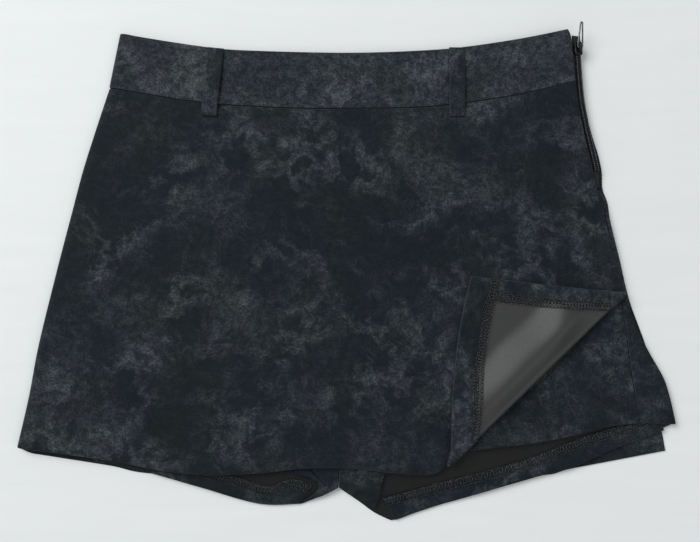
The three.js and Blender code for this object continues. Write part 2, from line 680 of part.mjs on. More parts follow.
const chainFoot = TAPE.thickness / 2 + REST_GAP;
const chainSection = new THREE.Shape()
  .absellipse(0, chainFoot, CHAIN.width / 2, CHAIN.thickness, 0, Math.PI)
  .getPoints(STEPS.coil);
addPiece('zip_chain', alongZip(chainSection, CHAIN), 'coil');

// A solid for joining, from a closed geometry, whose points are one where they are this near.
const SAME_PLACE = 1e-4;

function solid(geometry) {
  const bare = geometry.clone();
  bare.deleteAttribute('normal');
  bare.deleteAttribute('uv');
  const merged = mergeVertices(bare, SAME_PLACE);
  return new wasm.Manifold(new wasm.Mesh({
    numProp: 3,
    vertProperties: new Float32Array(merged.attributes.position.array),
    triVerts: new Uint32Array(merged.index.array),
  }));
}

function geometryOf(joined) {
  const { vertProperties, triVerts } = joined.getMesh();
  const geometry = new THREE.BufferGeometry();
  geometry.setAttribute('position', new THREE.Float32BufferAttribute(vertProperties, 3));
  geometry.setIndex(Array.from(triVerts));
  geometry.computeVertexNormals();
  return geometry;
}

function roundedOutline(halfWidth, low, high, corner) {
  const outline = new THREE.Shape();
  outline.moveTo(-halfWidth + corner, low);
  outline.absarc(halfWidth - corner, low + corner, corner, -Math.PI / 2, 0);
  outline.absarc(halfWidth - corner, high - corner, corner, 0, Math.PI / 2);
  outline.absarc(-halfWidth + corner, high - corner, corner, Math.PI / 2, Math.PI);
  outline.absarc(-halfWidth + corner, low + corner, corner, Math.PI, 1.5 * Math.PI);
  return outline;
}

const extruded = (shape, depth) => new THREE.ExtrudeGeometry(shape, {
  depth,
  bevelEnabled: false,
  curveSegments: STEPS.arc,
});

// The slider straddles the coil: a plate with flanges down its sides and a bridge for the pull.
const chainTop = chainFoot + CHAIN.thickness;
const plateFoot = chainTop + REST_GAP;
const plateTop = plateFoot + SLIDER.plate;
const plateShape = roundedOutline(SLIDER.width / 2, -SLIDER.length / 2, SLIDER.length / 2, SLIDER.corner);
const plate = extruded(plateShape, SLIDER.plate).translate(0, 0, plateFoot);
const flangeDepth = plateFoot + JOINED - SLIDER.flangeFoot;
const flanges = [-1, 1].map((side) => new THREE.BoxGeometry(SLIDER.flange, SLIDER.flangeLength, flangeDepth)
  .translate((side * (SLIDER.width - SLIDER.flange)) / 2, 0, SLIDER.flangeFoot + flangeDepth / 2));
const arch = new THREE.Shape()
  .absellipse(0, plateTop - JOINED, SLIDER.bridgeReach, SLIDER.bridgeTop - plateTop + JOINED, 0, Math.PI);
arch.holes.push(new THREE.Path().absarc(0, HINGE.height, HINGE.hole, 0, 2 * Math.PI, true));
const bridge = extruded(arch, SLIDER.bridge).translate(0, 0, -SLIDER.bridge / 2)
  .applyMatrix4(new THREE.Matrix4().makeBasis(
    new THREE.Vector3(0, 1, 0),
    new THREE.Vector3(0, 0, 1),
    new THREE.Vector3(1, 0, 0),
  ));
const slider = [...flanges, bridge].reduce((joined, piece) => joined.add(solid(piece)), solid(plate));
const sliderPiece = addPiece('zip_slider', geometryOf(slider), 'metal');
sliderPiece.applyMatrix4(zipFrame(SLIDER.place));

// The pull is a loop that narrows to its round tip, hung by the bar at its near end in the slider's
// bridge.
function narrowingOutline(near, tip, low, high) {
  const outline = new THREE.Shape();
  outline.moveTo(-near / 2, low);
  outline.lineTo(near / 2, low);
  outline.lineTo(tip / 2, high - tip / 2);
  outline.absarc(0, high - tip / 2, tip / 2, 0, Math.PI);
  return outline;
}

const bar = PULL.thickness / 2;
const loopShape = narrowingOutline(PULL.width, PULL.tip, -bar, PULL.length);
loopShape.holes.push(narrowingOutline(PULL.slot, PULL.tipSlot, bar, PULL.length - PULL.end));
const pull = extruded(loopShape, PULL.thickness).translate(0, 0, -PULL.thickness / 2);
const pullPiece = addPiece('zip_pull', pull, 'metal');
pullPiece.applyMatrix4(zipFrame(SLIDER.place)
  .multiply(new THREE.Matrix4().makeTranslation(0, 0, HINGE.height))
  .multiply(new THREE.Matrix4().makeRotationX(THREE.MathUtils.degToRad(PULL.raised))));

export default garment;
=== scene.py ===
# A mini skort in black brushed faux leather, laid flat with its front up, and with the lower corner of
# the skirt front turned up and over. It is dressed over its own solids, in their frame.
import math

import bpy
import numpy as np
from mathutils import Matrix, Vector
from mathutils.kdtree import KDTree


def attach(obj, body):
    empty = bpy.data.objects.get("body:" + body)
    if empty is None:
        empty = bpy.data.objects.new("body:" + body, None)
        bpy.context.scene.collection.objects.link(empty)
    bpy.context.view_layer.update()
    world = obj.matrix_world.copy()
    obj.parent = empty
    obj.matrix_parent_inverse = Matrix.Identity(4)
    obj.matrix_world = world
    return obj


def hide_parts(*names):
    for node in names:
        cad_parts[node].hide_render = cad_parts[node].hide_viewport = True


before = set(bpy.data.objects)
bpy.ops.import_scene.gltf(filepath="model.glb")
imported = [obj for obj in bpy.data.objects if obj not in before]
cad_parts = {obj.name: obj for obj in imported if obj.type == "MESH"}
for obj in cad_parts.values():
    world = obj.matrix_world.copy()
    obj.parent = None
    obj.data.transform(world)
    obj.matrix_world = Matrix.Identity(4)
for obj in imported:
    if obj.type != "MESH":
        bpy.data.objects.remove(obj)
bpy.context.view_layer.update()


# Skirt back
# One panel of faux leather from the waist seam to the hem. It lies flat on the table under all the
# rest, so that only its right edge, with the folded seam allowance, and its two corners show.
MM = 0.001
CLOTH = 1.2
SEAM_GAP = 0.4
WAIST_SEAM = [(-190.5, 144), (-157, 138), (-114, 131.5), (-53.5, 127.5), (2, 127), (66, 128.5),
              (129.5, 137), (181.8, 149)]
SKIRT_LEFT = [(-190.5, 144), (-200, 112.5), (-210, 78), (-218, 44.5), (-229, -2.5), (-241.5, -60),
              (-248, -100), (-256, -139)]
BACK_RIGHT = [(188.5, 149.5), (190.8, 131), (193, 119.5), (196, 106.5), (200.5, 91), (203, 77), (203.2, 64),
              (207, 52.5), (209, 37.5), (215.5, 8), (222.5, -25), (235.5, -64.5), (240.5, -95.5),
              (247.5, -142)]
BACK_HEM = [(-256, -139), (-247, -143.5), (-235.5, -145.5), (-184, -153.5), (-151.5, -159.5),
            (-60, -163), (60, -163), (149, -161), (175.5, -155.5), (247.5, -142)]
BACK_HEM_WIDTH = 16


def smooth_line(places, shares):
    """Points on the smooth line through some places, at these shares of its length."""
    places = np.array(places, float)
    steps_between = 60
    knots = np.vstack([places[:1], places, places[-1:]])
    along = np.linspace(0, len(places) - 1, steps_between * (len(places) - 1) + 1)
    first = np.minimum(along.astype(int), len(places) - 2)
    step = (along - first)[:, None]
    a, b, c, d = (knots[first + k] for k in range(4))
    fine = b + step / 2 * (c - a + step * (2 * a - 5 * b + 4 * c - d + step * (3 * (b - c) + d - a)))
    gone = np.concatenate([[0], np.cumsum(np.linalg.norm(np.diff(fine, axis=0), axis=1))])
    return np.stack([np.interp(np.array(shares) * gone[-1], gone, fine[:, k]) for k in (0, 1)], axis=-1)


def edge(*runs):
    """The edge of a cut, made of smooth runs that meet at corners. A run is its places and its steps."""
    lines = [smooth_line(places, np.linspace(0, 1, steps + 1)) for places, steps in runs]
    return np.vstack([lines[0]] + [line[1:] for line in lines[1:]])


def panel(left, right, across, top=None, bottom=None):
    """A grid of points over a cut between two edges, bent to a top and a bottom line."""
    grid = left[:, None] + across[None, :, None] * (right - left)[:, None]
    down = np.linspace(0, 1, len(left))[:, None, None]
    for row, places, share in ((0, top, 1 - down), (-1, bottom, down)):
        if places is not None:
            line = smooth_line([tuple(left[row]), *places, tuple(right[row])], across)
            grid = grid + share * (line - grid[row])
    return grid


def facing(lay, cut):
    """The way that laid cloth faces at points of its cut."""
    nudge = 0.05
    right = lay(cut + (nudge, 0)) - lay(cut - (nudge, 0))
    up = lay(cut + (0, nudge)) - lay(cut - (0, nudge))
    way = np.cross(right, up)
    return way / np.linalg.norm(way, axis=-1, keepdims=True)


def new_mesh(name, points, faces, finishes, finish_of_face=None):
    """A smooth-shaded object from points in millimetres."""
    mesh = bpy.data.meshes.new(name)
    mesh.from_pydata((np.asarray(points) * MM).tolist(), [], faces)
    for finish in finishes:
        mesh.materials.append(finish)
    mesh.polygons.foreach_set("use_smooth", [True] * len(mesh.polygons))
    if finish_of_face is not None:
        mesh.polygons.foreach_set("material_index", finish_of_face)
    mesh.update()
    piece = bpy.data.objects.new(name, mesh)
    bpy.context.scene.collection.objects.link(piece)
    return piece


def sew(name, cuts, lay, finishes, thickness=CLOTH, lift=0.0, face_up=True, turned_hem=0.0):
    """A piece of cloth with a face, a reverse and a rolled edge, from grids of its flat cut. Along its
    edges, the face also shows on the reverse as far as a hem is turned."""
    flat = np.vstack([cut.reshape(-1, 2) for cut in cuts])
    _, first, same = np.unique(np.round(flat, 2), axis=0, return_index=True, return_inverse=True)
    flat, same = flat[first], same.ravel()
    quads, start = [], 0
    for cut in cuts:
        rows, columns = cut.shape[:2]
        number = same[start:start + rows * columns].reshape(rows, columns)
        start += rows * columns
        corners = [number[:-1, :-1], number[1:, :-1], number[1:, 1:], number[:-1, 1:]]
        quads.append(np.stack(corners, axis=-1).reshape(-1, 4))
    faces = []
    for quad in np.vstack(quads).tolist():
        corners = [v for k, v in enumerate(quad) if v != quad[k - 1]]
        if len(corners) > 2:
            faces.append(corners)

    sides = {(f[k - 1], f[k]) for f in faces for k in range(len(f))}
    rim = sorted(side for side in sides if side[::-1] not in sides)
    middle = lay(flat) + facing(lay, flat) * lift
    up = facing(lay, flat)
    out = np.zeros_like(middle)
    for a, b in rim:
        way = np.cross(middle[b] - middle[a], up[a] + up[b])
        way /= np.linalg.norm(way)
        out[a] += way
        out[b] += way
    on_rim = sorted({a for a, _ in rim})
    out[on_rim] /= np.linalg.norm(out[on_rim], axis=1, keepdims=True)

    half = thickness / 2
    count = len(flat)
    drawn_in = middle - out * half
    points = [drawn_in + up * half, drawn_in - up * half]
    rim_turns = (0.9, 0, -0.9)
    for turn in rim_turns:
        points.append((drawn_in + half * (out * math.cos(turn) + up * math.sin(turn)))[on_rim])
    place = {v: k for k, v in enumerate(on_rim)}
    levels = [lambda v: v]
    levels += [lambda v, k=k: 2 * count + k * len(on_rim) + place[v] for k in range(len(rim_turns))]
    levels += [lambda v: count + v]
    everything = faces + [[count + v for v in reversed(f)] for f in faces]
    for upper, lower in zip(levels, levels[1:]):
        everything += [[upper(b), upper(a), lower(a), lower(b)] for a, b in rim]
    sided = np.zeros(len(everything), int)
    if len(finishes) > 1:
        sides_of_edge = KDTree(len(on_rim))
        for v in on_rim:
            sides_of_edge.insert((*flat[v], 0), v)
        sides_of_edge.balance()
        start = len(faces) if face_up else 0
        for k, face in enumerate(faces):
            centre = flat[face].mean(axis=0)
            sided[start + k] = sides_of_edge.find((*centre, 0))[2] >= turned_hem
    piece = new_mesh(name, np.vstack(points), everything, finishes, sided)

    # The finishes follow the flat cut, and each piece takes its smudges at a level of its own.
    cut_of_point = np.vstack([flat, flat] + [flat[on_rim]] * len(rim_turns)) * MM
    level = np.full(len(cut_of_point), 0.1 * (len(name) % 7))
    attribute = piece.data.attributes.new("cut", "FLOAT_VECTOR", "POINT")
    attribute.data.foreach_set("vector", np.column_stack([cut_of_point, level]).ravel())
    # The rolled rim's points are marked for a painted highlight, a paler grey along each piece's edges.
    painted_edge_highlight = np.zeros(len(cut_of_point))
    painted_edge_highlight[2 * count:] = 1
    attribute = piece.data.attributes.new("edge", "FLOAT", "POINT")
    attribute.data.foreach_set("value", painted_edge_highlight)
    return piece


def on_garment(piece, node=None):
    """Fixes a piece to the garment, and hides the solid that it stands for."""
    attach(piece, "garment")
    if node:
        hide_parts(node)


def new_finish(name):
    """An empty finish and its shader."""
    finish = bpy.data.materials.new(name)
    finish.use_nodes = True
    return finish, finish.node_tree.nodes["Principled BSDF"]


def set_sockets(node, sockets):
    """Gives each socket its value, or what comes out of another node."""
    for key, value in sockets.items():
        if isinstance(value, bpy.types.NodeSocket):
            node.id_data.links.new(value, node.inputs[key])
        else:
            node.inputs[key].default_value = value


def add_node(finish, kind, sockets, **settings):
    """Adds a node to a finish, with its settings and what goes into its sockets."""
    node = finish.node_tree.nodes.new("ShaderNode" + kind)
    for setting, value in settings.items():
        setattr(node, setting, value)
    set_sockets(node, sockets)
    return node


def own_places(finish):
    """Where each point is on the piece itself."""
    return add_node(finish, "TexCoord", {}).outputs["Object"]


def cloth_places(finish):
    """Where each point is on the flat cut."""
    return add_node(finish, "Attribute", {}, attribute_name="cut").outputs["Vector"]


def lit(tone, light):
    """A colour, made lighter or darker."""
    return (*(value * light for value in tone), 1)


def stretched(finish, at, turn, along, across):
    """Places on the cloth, turned by degrees and scaled along and across that way."""
    turned = add_node(finish, "Mapping", {"Vector": at, "Rotation": (0, 0, math.radians(turn)),
                                          "Scale": (along, across, 1)}, vector_type="TEXTURE")
    return turned.outputs["Vector"]


def noise(finish, at, scale, detail=3.0, roughness=0.5):
    """Soft random values, so many to the metre."""
    node = add_node(finish, "TexNoise", {"Vector": at, "Scale": scale, "Detail": detail,
                                         "Roughness": roughness})
    return node.outputs["Fac"]


def between(finish, value, low, high, to_low=0.0, to_high=1.0):
    """A value eased from one level to another as it goes from low to high."""
    node = add_node(finish, "MapRange", {"Value": value, "From Min": low, "From Max": high,
                                         "To Min": to_low, "To Max": to_high},
                    interpolation_type="SMOOTHSTEP")
    return node.outputs["Result"]


def reckon(finish, operation, a, b=0.0):
    """Sums on values."""
    return add_node(finish, "Math", {0: a, 1: b}, operation=operation).outputs[0]


def blend_colours(finish, share, a, b):
    """One colour passing into another."""
    return add_node(finish, "Mix", {0: share, 6: a, 7: b}, data_type="RGBA").outputs[2]


def bumped(finish, height, depth, under=None):
    """The cloth's face, with a relief of that depth in metres."""
    sockets = {"Height": height, "Distance": depth}
    if under is not None:
        sockets["Normal"] = under
    return add_node(finish, "Bump", sockets).outputs["Normal"]


def brushed_cloth(name, rubbed=0.08):
    """Black faux leather with a brushed nap: smudges and marbling where the nap is rubbed pale."""
    finish, face = new_finish(name)
    at = cloth_places(finish)

    # Places on the cloth, drawn about so that no smudge is round or straight.
    wander = add_node(finish, "TexNoise", {"Vector": at, "Scale": 30.0, "Detail": 3.0}).outputs["Color"]
    away = add_node(finish, "VectorMath", {0: wander, "Scale": 0.022}, operation="SCALE").outputs[0]
    drawn = add_node(finish, "VectorMath", {0: at, 1: away}, operation="ADD").outputs[0]

    clouds = between(finish, noise(finish, drawn, 20, 6, 0.62), 0.44, 0.76)
    vein = reckon(finish, "ABSOLUTE", reckon(finish, "SUBTRACT", noise(finish, drawn, 24, 6, 0.6), 0.5))
    marbling = reckon(finish, "MULTIPLY", between(finish, vein, 0.08, 0.0),
                      between(finish, noise(finish, at, 17, 3), 0.42, 0.62))
    streak = noise(finish, stretched(finish, drawn, -44, 1.0, 0.13), 26, 3, 0.5)
    streak = reckon(finish, "ABSOLUTE", reckon(finish, "SUBTRACT", streak, 0.5))
    streaks = reckon(finish, "MULTIPLY", between(finish, streak, 0.018, 0.0),
                     between(finish, noise(finish, at, 23, 2), 0.56, 0.68))
    mottle = between(finish, noise(finish, drawn, 180, 5, 0.7), 0.34, 0.7, 0.3, 1.5)
    grain = between(finish, noise(finish, at, 640, 2, 0.6), 0.34, 0.66, 0.5, 1.5)

    pale = reckon(finish, "ADD", reckon(finish, "MULTIPLY", clouds, 0.45),
                  reckon(finish, "MULTIPLY", marbling, 0.5))
    pale = reckon(finish, "MULTIPLY", reckon(finish, "ADD", pale, rubbed), mottle)
    pale = reckon(finish, "ADD", pale, reckon(finish, "MULTIPLY", streaks, 0.35))
    pale = reckon(finish, "MULTIPLY", pale, reckon(finish, "MULTIPLY", grain, 0.72))

    hue = between(finish, noise(finish, at, 13, 3), 0.4, 0.6)
    navy, green_black = (0.0046, 0.0074, 0.0130, 1), (0.0048, 0.0080, 0.0102, 1)
    violet_grey, green_grey = (0.070, 0.075, 0.092, 1), (0.066, 0.078, 0.081, 1)
    pale_hue = between(finish, noise(finish, drawn, 31, 3), 0.4, 0.6)
    colour = blend_colours(finish, pale, blend_colours(finish, hue, navy, green_black),
                           blend_colours(finish, pale_hue, violet_grey, green_grey))
    # Painted highlight: the rolled edges are blended towards a paler grey, as if they catch the light.
    edge_highlight_grey = (0.075, 0.08, 0.09, 1)
    painted_edge_highlight = add_node(finish, "Attribute", {}, attribute_name="edge").outputs["Fac"]
    colour = blend_colours(finish, reckon(finish, "MULTIPLY", painted_edge_highlight, 0.3), colour, edge_highlight_grey)
    fine = bumped(finish, grain, 0.00011)
    set_sockets(face, {
        "Base Color": colour,
        "Roughness": between(finish, pale, 0, 0.8, 0.8, 0.62),
        "Specular IOR Level": 0.14,
        "Sheen Weight": 0.025,
        "Sheen Roughness": 0.5,
        "Sheen Tint": (0.7, 0.8, 1.0, 1),
        "Normal": bumped(finish, noise(finish, drawn, 60, 4, 0.6), 0.0012, fine),
    })
    return finish


def satin_reverse(name, light=1.0):
    """The cloth's own reverse: a close dark grey satin with a soft sheen along its threads."""
    finish, face = new_finish(name)
    at = cloth_places(finish)
    shade = between(finish, noise(finish, at, 22, 3), 0.35, 0.65)
    threads = add_node(finish, "TexWave", {"Vector": stretched(finish, at, 45, 1.0, 1.0), "Scale": 330.0,
                                           "Distortion": 0.6}).outputs["Fac"]
    grain = noise(finish, at, 700, 2)
    warm, cool = (0.024, 0.0245, 0.023), (0.024, 0.028, 0.030)
    # A light below 1 makes a darker copy of the satin, which is painted shade.
    set_sockets(face, {
        "Base Color": blend_colours(finish, shade, lit(warm, light), lit(cool, light)),
        "Roughness": between(finish, reckon(finish, "MULTIPLY", threads, grain), 0, 0.6, 0.46, 0.54),
        "Specular IOR Level": 0.5 * light,
        "Sheen Weight": 0.05 * light,
        "Sheen Roughness": 0.35,
        "Normal": bumped(finish, threads, 0.00005),
    })
    return finish


skirt_cloth = brushed_cloth("brushed_faux_leather")
reverse_cloth = satin_reverse("satin_reverse")


def below(places, gap=SEAM_GAP):
    """A line of the cut, a seam's gap lower."""
    return [(x, y - gap) for x, y in places]


def lie_flat(cut):
    """The skirt back's middle surface."""
    return np.column_stack([cut, np.full(len(cut), CLOTH / 2)])


back_cut = panel(edge((below(SKIRT_LEFT), 80)), edge((below(BACK_RIGHT), 80)), np.linspace(0, 1, 121),
                 below(WAIST_SEAM)[1:-1], below(BACK_HEM)[1:-1])
skirt_back = sew("skirt_back_panel", [back_cut], lie_flat, [skirt_cloth, reverse_cloth], face_up=False,
                 turned_hem=BACK_HEM_WIDTH)
on_garment(skirt_back, "skirt_back")


# Back legs of the shorts
# Two quarters of the built-in shorts lie on the skirt back. They meet at the centre back seam and
# come down to the crotch, and the right one wraps over its outer fold to the seam at the leg's front.
LEVEL = {"back_legs": 1.7, "front_legs": 4.6, "skirt_front": 6.3, "front_band": 5.9}
LAYER_GAP = 0.3
CENTRE_X = -6.5
CROTCH = (CENTRE_X, -170)
SHORTS_TOP = 126
SHORTS_TOP_LEFT = [(-157, 137), (-114, 130.5), (-53.5, 126.5)]
SHORTS_TOP_RIGHT = [(66, 127.5), (129.5, 136)]
RIGHT_TIP = (34, -195.5)
LEFT_TIP = (-36, -183)
RIGHT_INSEAM = [(10, -181.7), (21.5, -189.8)]
LEFT_INSEAM = [(-19, -176.4)]
SHORTS_LEFT_SIDE = [(-180, 141), (-200, 78), (-208, 44.5), (-219, -2.5), (-231.5, -60), (-238, -100),
                    (-242, -126)]
SHORTS_RIGHT_SIDE = [(176, 146), (184, 120), (188.5, 97.5), (192.5, 71.5), (194, 64)]
LEG_SEAM = [(215.5, -34), (220.5, -77.5), (226.5, -120.5)]
RIGHT_BACK_LEG_HEM = [(206, -140.5), (175.5, -154), (149, -161), (103, -174), (64, -185.5), (41, -194),
                      RIGHT_TIP]
LEFT_BACK_LEG_HEM = [(-242, -126), (-200, -146), (-151.5, -159.5), (-110, -171.2), (-74, -181.6),
                     (-64, -183.2), LEFT_TIP]
LEG_FOLD = ((202.5, 58), (255, -121))
LEG_FOLD_BOW = [(0, 0), (0.2, 2.2), (0.42, 6), (0.57, 7), (0.7, 2.6), (0.83, -2), (1, 0)]
HEM_DROP = (8, 12)
INSEAM_PINCH = 10
SWELLS = [
    # x, y, half length, half width, turn in degrees, rise as a share of the layers' height
    (-120, 40, 95, 45, -35, 0.20),
    (-175, -70, 70, 26, 70, 0.17),
    (30, 55, 110, 34, 12, 0.14),
    (-55, -75, 80, 40, 50, 0.20),
    (55, -95, 60, 24, 62, 0.12),
    (145, 15, 70, 28, 40, 0.16),
    (-105, -135, 34, 18, 80, 0.15),
]


def ease(share):
    """A share from 0 to 1 with soft ends."""
    share = np.clip(share, 0, 1)
    return share * share * (3 - 2 * share)


def rises(at, table):
    """Soft swells and creases, listed: each row's place, half length, half width, turn and rise."""
    total = np.zeros(at.shape[:-1])
    for x, y, length, width, turn, rise in table:
        turned = math.radians(turn)
        along = (at[..., 0] - x) * math.cos(turned) + (at[..., 1] - y) * math.sin(turned)
        across = (at[..., 1] - y) * math.cos(turned) - (at[..., 0] - x) * math.sin(turned)
        total += rise * np.exp(-(along / length) ** 2 - (across / width) ** 2)
    return total


class Fold:
    """A straight line that cloth turns up and back over, and out is the way over it."""

    def __init__(self, start, end, radius, bow=((0, 0), (1, 0))):
        self.start = np.array(start, float)
        self.length = math.dist(start, end)
        self.along = (np.array(end, float) - self.start) / self.length
        self.out = np.array([-self.along[1], self.along[0]])
        self.radius = radius
        self.bow = smooth_line(bow, np.linspace(0, 1, 61))

    def share(self, at):
        return np.clip((at - self.start) @ self.along / self.length, 0, 1)

    def inset(self, share):
        return self.radius(share) + CLOTH / 2 + np.interp(share, *self.bow.T)

    def rolled(self, share, angle):
        """Places on the flat cut that lie this far round the roll."""
        beyond = self.radius(share) * angle - self.inset(share)
        on_line = self.start + np.multiply.outer(share * self.length, self.along)
        return on_line + np.multiply.outer(beyond, self.out)

    def past(self, at):
        return (at - self.start) @ self.out + self.inset(self.share(at))

    def flatten(self, at):
        """The places of the flat cut that come to lie here, once they are turned over."""
        return at + np.multiply.outer(math.pi * self.radius(self.share(at)) - 2 * self.past(at), self.out)

    def lay(self, cut):
        """Where places of the flat cut come to lie, their rise, and how far past the roll they are."""
        past, bend = self.past(cut), self.radius(self.share(cut))
        angle = np.clip(past / bend, 0, math.pi)
        over = np.where(past > 0, past - bend * angle, 0)
        reach = np.where(past > 0, bend * np.sin(angle) - over, past)
        return cut + (reach - past)[..., None] * self.out, bend * (1 - np.cos(angle)), over


back_hem_line = smooth_line(BACK_HEM, np.linspace(0, 1, 200))


def back_leg_height(at):
    """The back legs lie on the skirt back, and ease down to the table past its hem."""
    beyond = np.interp(at[..., 0], *back_hem_line.T) - at[..., 1]
    level = LEVEL["back_legs"] * (1 + rises(at, SWELLS))
    return CLOTH / 2 + level * (1 - ease((beyond - HEM_DROP[0]) / HEM_DROP[1]))


def front_leg_height(at):
    """The front legs lie over the back ones and close down on them along the inseams."""
    near = []
    for tip in (RIGHT_TIP, LEFT_TIP):
        start, way = np.array(CROTCH, float), np.subtract(tip, CROTCH)
        share = np.clip((at - start) @ way / (way @ way), 0, 1)
        near.append(np.linalg.norm(at - start - share[..., None] * way, axis=-1))
    apart = (LEVEL["front_legs"] - LEVEL["back_legs"]) * (1 + rises(at, SWELLS))
    closed = CLOTH + LAYER_GAP
    return back_leg_height(at) + closed + (apart - closed) * ease(np.minimum(*near) / INSEAM_PINCH)


leg_bend = (LEVEL["front_legs"] - LEVEL["back_legs"]) / 2
leg_fold = Fold(*LEG_FOLD, radius=lambda share: leg_bend + 0 * share, bow=LEG_FOLD_BOW)


def lay_back_leg(cut):
    """The back legs' middle surface, with the right one rolled over its outer fold."""
    at, rise, _ = leg_fold.lay(cut)
    level = back_leg_height(at)
    return np.column_stack([at, level + rise / (2 * leg_bend) * (front_leg_height(at) - level)])


def inner_edge(offset, inseam, tip):
    """The centre seam down to the crotch and the inseam down to the leg's tip."""
    crotch = (CENTRE_X + offset, CROTCH[1])
    return edge(([(CENTRE_X + offset, SHORTS_TOP), crotch], 85), ([crotch, *inseam, tip], 25))


def leg_seam(offset):
    """The seam at the front of the right leg, where the back leg's cloth ends."""
    top = leg_fold.lay(leg_fold.rolled(np.zeros(1), math.pi))[0][0]
    return edge(([(top[0] + offset / 2, top[1]), *[(x + offset, y) for x, y in LEG_SEAM]], 40))


leg_shares = np.linspace(0, 1, 41)
fold_line = leg_fold.rolled(leg_shares, 0)
leg_across = np.linspace(0, 1, 91)
roll_angles = np.linspace(0, math.pi, 11)[:-1]
lower_back_hem = [tuple(fold_line[-1]), *RIGHT_BACK_LEG_HEM]
back_left_cut = panel(edge((SHORTS_LEFT_SIDE, 65), (LEFT_BACK_LEG_HEM, 45)),
                      inner_edge(-SEAM_GAP / 2, LEFT_INSEAM, LEFT_TIP), leg_across, SHORTS_TOP_LEFT)
back_right_cut = panel(inner_edge(SEAM_GAP / 2, RIGHT_INSEAM, RIGHT_TIP),
                       np.vstack([edge((SHORTS_RIGHT_SIDE, 24)), fold_line, edge((lower_back_hem, 45))[1:]]),
                       leg_across, SHORTS_TOP_RIGHT)
wrap_ends = leg_fold.lay(leg_fold.rolled(leg_shares, math.pi))[0]
wrap_across = np.linspace(0, 1, 13)[None, :, None]
wrap_lies = wrap_ends[:, None] + wrap_across * (leg_seam(SEAM_GAP / 2) - wrap_ends)[:, None]
wrap_roll = np.stack([leg_fold.rolled(leg_shares, angle) for angle in roll_angles], axis=1)
wrap_cut = np.concatenate([wrap_roll, leg_fold.flatten(wrap_lies)], axis=1)
# The legs' satin is a darker copy of the reverse: painted shade for the insides of the legs.
leg_satin_painted_shade = satin_reverse("satin_reverse_painted_shade_of_shorts", 0.34)
back_legs = {
    "shorts_back_left": [back_left_cut],
    "shorts_back_right": [back_right_cut, wrap_cut],
}
for node, cuts in back_legs.items():
    leg = sew(node + "_leg", cuts, lay_back_leg, [skirt_cloth, leg_satin_painted_shade], face_up=False)
    on_garment(leg, node)


# Turned hems inside the back legs
# Each leg's hem is folded up once to the inside and held by a coverstitch, whose looper threads make
# a ladder over its raw edge. The bands show inside the back legs, past the front legs' hems.
TURNED_HEM = 1.0
HEM_GAP = 0.1
LEG_BANDS = {
    "leg_hem_left": ([(-148, -147), (-87, -162), (-61, -169.5), (-43.5, -164), (-27, -168.5)],
                     [(-151.5, -159.2), (-110, -170.7), (-68, -182.7), (-37.5, -182.7)]),
    "leg_hem_right": ([(28.5, -178), (64, -168.5), (103, -159), (141.5, -148), (176, -134.5), (212, -123),
                       (240, -113)],
                      [(37, -195), (64, -185.8), (103, -174.3), (149, -161.3), (175.5, -154.3),
                       (206, -140.8), (238, -129.5), (246, -126)]),
}
THREAD = 0.25
LADDER = {"width": 5.8, "pitch": 2.4}


def black_thread(name, light=1.0):
    """Black polyester sewing thread: a fine twist with a slight sheen."""
    finish, face = new_finish(name)
    at = own_places(finish)
    twist = add_node(finish, "TexWave", {"Vector": stretched(finish, at, 30, 1.0, 1.0), "Scale": 900.0,
                                         "Distortion": 2.0}).outputs["Fac"]
    dark, pale = (0.002, 0.0022, 0.003), (0.007, 0.0075, 0.009)
    # A light above 1 makes the thread paler: painted highlight, standing for glints on the stitches.
    set_sockets(face, {
        "Base Color": blend_colours(finish, noise(finish, at, 160, 2), lit(dark, light), lit(pale, light)),
        "Roughness": 0.2,
        "Specular IOR Level": 0.75,
        "Normal": bumped(finish, twist, 0.00006),
    })
    return finish


thread_finish = black_thread("black_thread")


def thread_mesh(name, paths, facings, radius=THREAD, sides=6):
    """Many lengths of thread as one object: every path has as many points as the next."""
    paths, facings = np.asarray(paths), np.asarray(facings)
    lengths, points = paths.shape[:2]
    way = np.gradient(paths, axis=1)
    way /= np.linalg.norm(way, axis=2, keepdims=True)
    across = np.cross(way, facings)
    across /= np.linalg.norm(across, axis=2, keepdims=True)
    up = np.cross(across, way)
    turn = np.linspace(0, 2 * math.pi, sides, endpoint=False)
    ring = across[:, :, None] * np.cos(turn)[:, None] + up[:, :, None] * np.sin(turn)[:, None]
    skin = paths[:, :, None] + radius * ring
    number = np.arange(lengths * points * sides).reshape(lengths, points, sides)
    a, b = number[:, :-1], number[:, 1:]
    walls = np.stack([a, b, np.roll(b, -1, axis=2), np.roll(a, -1, axis=2)], axis=-1).reshape(-1, 4)
    ends = number[:, 0].tolist() + number[:, -1, ::-1].tolist()
    return new_mesh(name, skin.reshape(-1, 3), walls.tolist() + ends, [thread_finish])


def seam_line(places, lay, lift, spacing):
    """Places along a line of the cut once it is laid, with the ways along, aside and up."""
    length = np.linalg.norm(np.diff(smooth_line(places, np.linspace(0, 1, 200)), axis=0), axis=1).sum()
    flat = smooth_line(places, np.linspace(0, 1, max(2, round(length / spacing)) + 1))
    up = facing(lay, flat)
    up *= math.copysign(1, lift)
    line = lay(flat) + up * abs(lift)
    along = np.gradient(line, axis=0)
    along /= np.linalg.norm(along, axis=1, keepdims=True)
    return line, along, np.cross(up, along), up


